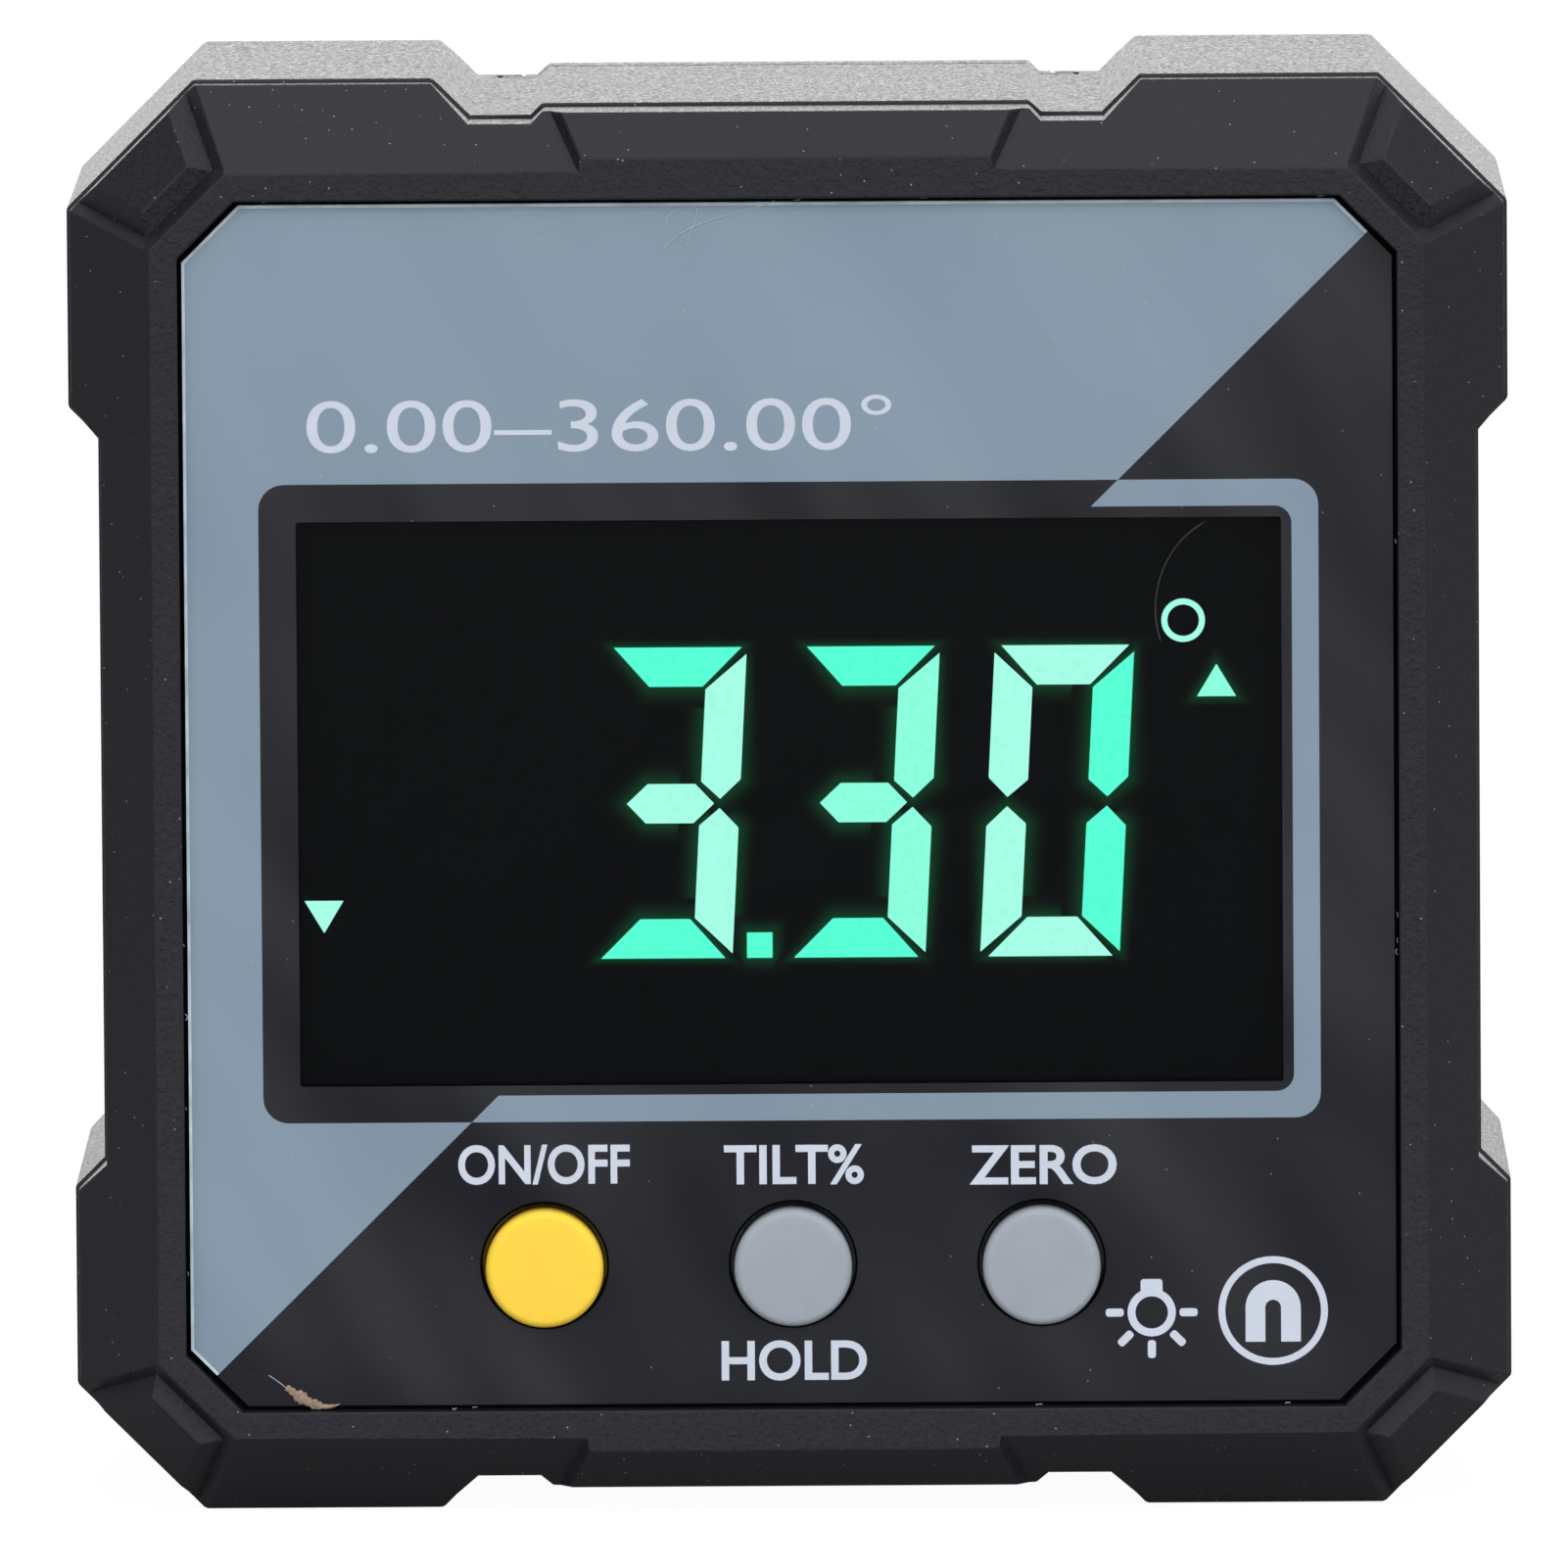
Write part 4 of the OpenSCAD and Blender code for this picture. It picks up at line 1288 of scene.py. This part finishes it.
@dataclass
class Inside:
    """Finishes of the solids that keep their own shape: board, cells, contacts, magnets and screws."""

    finishes: tuple[tuple[Finish, tuple[str, ...]], ...] = (
        (FOAM, ("display_gasket", "contact_strip")),
        (CELL_BLACK, ("display_glass",)),
        (GUIDE, ("backlight",)),
        (BOARD, ("main_board",)),
        (CHIP, ("controller", "tilt_sensor", "power_switch", "hold_switch", "zero_switch")),
        (NICKEL, ("power_plunger", "hold_plunger", "zero_plunger",
                  "plus_contact", "minus_contact", "bridge_contact",
                  "magnet_front_left", "magnet_front_right", "magnet_back_left", "magnet_back_right")),
        (WRAP, ("left_cell", "right_cell")),
        (ZINC, ("case_screws", "board_screws")),
    )

    def build(self) -> None:
        """Gives each solid its finish."""
        for finish, nodes in self.finishes:
            material = finish.material()
            for node in nodes:
                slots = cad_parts[node].data.materials
                slots.clear()
                slots.append(material)
                LOG.info("finish %s on %s", finish.name, node)


@dataclass(frozen=True)
class TableTop(Look):
    """Pale laminate: a grey that throws a little light back; the camera sees it washed out to white."""

    name: str = "table_white_laminate"
    bounce: float = 0.3
    paint: float = 0.9
    wash: float = 0.92
    white: float = 1.05

    def surface(self, tree: NodeTree, place: NodeSocket) -> Node:
        """Adds the two sides of the laminate, as in Look."""
        bounce, paint = (
            add_node(tree, "ShaderNodeBsdfDiffuse", {"Color": (grey, grey, grey, 1.0)})
            for grey in (self.bounce, self.paint)
        )
        white = add_node(tree, "ShaderNodeEmission", {"Color": WHITE, "Strength": self.white})
        seen = add_node(tree, "ShaderNodeMixShader", {"Fac": self.wash}, {1: paint, 2: white})
        rays = add_node(tree, "ShaderNodeLightPath").outputs["Is Camera Ray"]
        return add_node(tree, "ShaderNodeMixShader", links={"Fac": rays, 1: bounce, 2: seen})


@dataclass
class Studio:
    """White table, soft light boxes and the camera at the photograph's angle.

    Lamps have a name, a place, a side and a power. Rows of the sky say how a step joins the rows before it,
    the axis of the direction that it follows, where it begins and ends, and its two levels: in front,
    on the right, above, darker low down, brightest behind.
    """

    distance: float = 1167.6
    elevation: float = 6.106
    yaw: float = 0.309
    roll: float = -0.391
    focal_px: float = 27647.8
    image_px: float = 1601.0
    aim: Triple = (-0.277, 4.8 - CASE_MID, 31.42)
    sensor: float = 36.0
    clip: Pair = (0.01, 50.0)
    table_half: float = 1.5
    table_depth: Pair = (-0.07, 3.0)
    lamps: tuple[tuple[str, Triple, float, float], ...] = (
        ("softbox_top", (0.1, -0.85, 0.6), 0.8, 3.95),
        ("softbox_front_left", (-0.6, -0.95, 0.5), 0.6, 3.6),
        ("softbox_front_right", (0.7, -0.95, 0.5), 0.6, 4.1),
    )
    sky: tuple[tuple[str, str, float, float, float, float], ...] = (
        ("ADD", "Y", -0.3, -0.9, 0.205, 0.92),
        ("ADD", "X", 0.2, 0.9, 0.0, 0.26),
        ("ADD", "Z", 0.75, 0.98, 0.0, 0.72),
        ("MULTIPLY", "Z", -0.17, -0.06, 0.05, 1.0),
        ("ADD", "Y", 0.7, 0.98, 0.0, 2.4),
    )

    def build(self) -> None:
        """Sets up camera, light, floor and background."""
        self._camera()
        self._world()
        self._floor()
        for lamp in self.lamps:
            self._lamp(*lamp)
        bpy.context.scene.view_settings.view_transform = "Standard"

    def _camera(self) -> None:
        """Places a long lens at the fitted distance, tilt and roll."""
        e, y, r = (math.radians(a) for a in (self.elevation, self.yaw, self.roll))
        forward = Vector((-math.sin(y) * math.cos(e), math.cos(y) * math.cos(e), -math.sin(e)))
        right = Vector((math.cos(y), math.sin(y), 0.0))
        up = right.cross(forward)
        side = right * math.cos(r) + up * math.sin(r)
        top = up * math.cos(r) - right * math.sin(r)
        data = bpy.data.cameras.new("photo_camera")
        data.sensor_fit = "HORIZONTAL"
        data.sensor_width = self.sensor
        data.lens = self.focal_px / self.image_px * self.sensor
        data.clip_start, data.clip_end = self.clip
        camera = bpy.data.objects.new("photo_camera", data)
        turn = Matrix((side, top, -forward)).transposed().to_4x4()
        place = (Vector(self.aim) - forward * self.distance) * MM
        camera.matrix_world = Matrix.Translation(place) @ turn
        bpy.context.scene.collection.objects.link(camera)
        bpy.context.scene.camera = camera

    def _world(self) -> None:
        """Studio round the object: its light follows the direction; the camera sees plain white."""
        world = bpy.data.worlds.new("studio")
        bpy.context.scene.world = world
        world.use_nodes = True
        tree = world.node_tree
        tree.nodes.clear()
        way = add_node(tree, "ShaderNodeTexCoord").outputs["Generated"]
        axes = add_node(tree, "ShaderNodeSeparateXYZ", links={"Vector": way})
        level = None
        for operation, axis, *span in self.sky:
            ends = dict(zip(("From Min", "From Max", "To Min", "To Max"), span))
            step = add_node(
                tree, "ShaderNodeMapRange",
                {"interpolation_type": "SMOOTHSTEP", **ends}, {"Value": axes.outputs[axis]},
            )
            if level is not None:
                step = add_node(
                    tree, "ShaderNodeMath", {"operation": operation}, {0: level, 1: step}
                )
            level = step
        rays = add_node(tree, "ShaderNodeLightPath").outputs["Is Camera Ray"]
        glow = add_node(tree, "ShaderNodeBackground", {"Color": WHITE}, {"Strength": level})
        white = add_node(tree, "ShaderNodeBackground", {"Color": WHITE, "Strength": 1.0})
        both = add_node(tree, "ShaderNodeMixShader", links={"Fac": rays, 1: glow, 2: white})
        add_node(tree, "ShaderNodeOutputWorld", links={"Surface": both})

    def _floor(self) -> None:
        """Table top that runs back behind the object."""
        half, (front, back) = self.table_half, self.table_depth
        edges = [(-half, front, 0.0), (half, front, 0.0), (half, back, 0.0), (-half, back, 0.0)]
        mesh = bpy.data.meshes.new("table_top")
        mesh.from_pydata(edges, [], [(0, 1, 2, 3)])
        mesh.materials.append(TableTop().material())
        table = bpy.data.objects.new("table_top", mesh)
        bpy.context.scene.collection.objects.link(table)

    @staticmethod
    def _lamp(name: str, place: Triple, size: float, power: float) -> None:
        """Adds a square light box that faces the middle of the object.

        Args:
            name: the lamp's name.
            place: its position in metres.
            size: its side in metres.
            power: its power in watts.
        """
        data = bpy.data.lights.new(name, "AREA")
        data.shape = "SQUARE"
        data.size = size
        data.energy = power
        lamp = bpy.data.objects.new(name, data)
        lamp.location = place
        aim = Vector((0.0, 0.0, FACE_MID * MM)) - Vector(place)
        lamp.rotation_euler = aim.to_track_quat("-Z", "Y").to_euler()
        lamp.visible_glossy = False
        bpy.context.scene.collection.objects.link(lamp)


def main() -> None:
    """Builds every sub-assembly, then the studio."""
    logging.basicConfig(level=logging.INFO, format="%(message)s")
    Studio().build()
    CaseShell().build()
    FaceFilm().build()
    Display().build()
    FaceLettering().build()
    for key in (
        KeyCap("power_cap", "power_button", "power_key", "cap_yellow", KEY_X[0], CAP_YELLOW),
        KeyCap("hold_cap", "hold_button", "hold_key", "cap_grey", KEY_X[1], CAP_GREY),
        KeyCap("zero_cap", "zero_button", "zero_key", "cap_grey", KEY_X[2], CAP_GREY),
    ):
        key.build()
    Dirt().build()
    Inside().build()


if __name__ == "__main__":
    main()
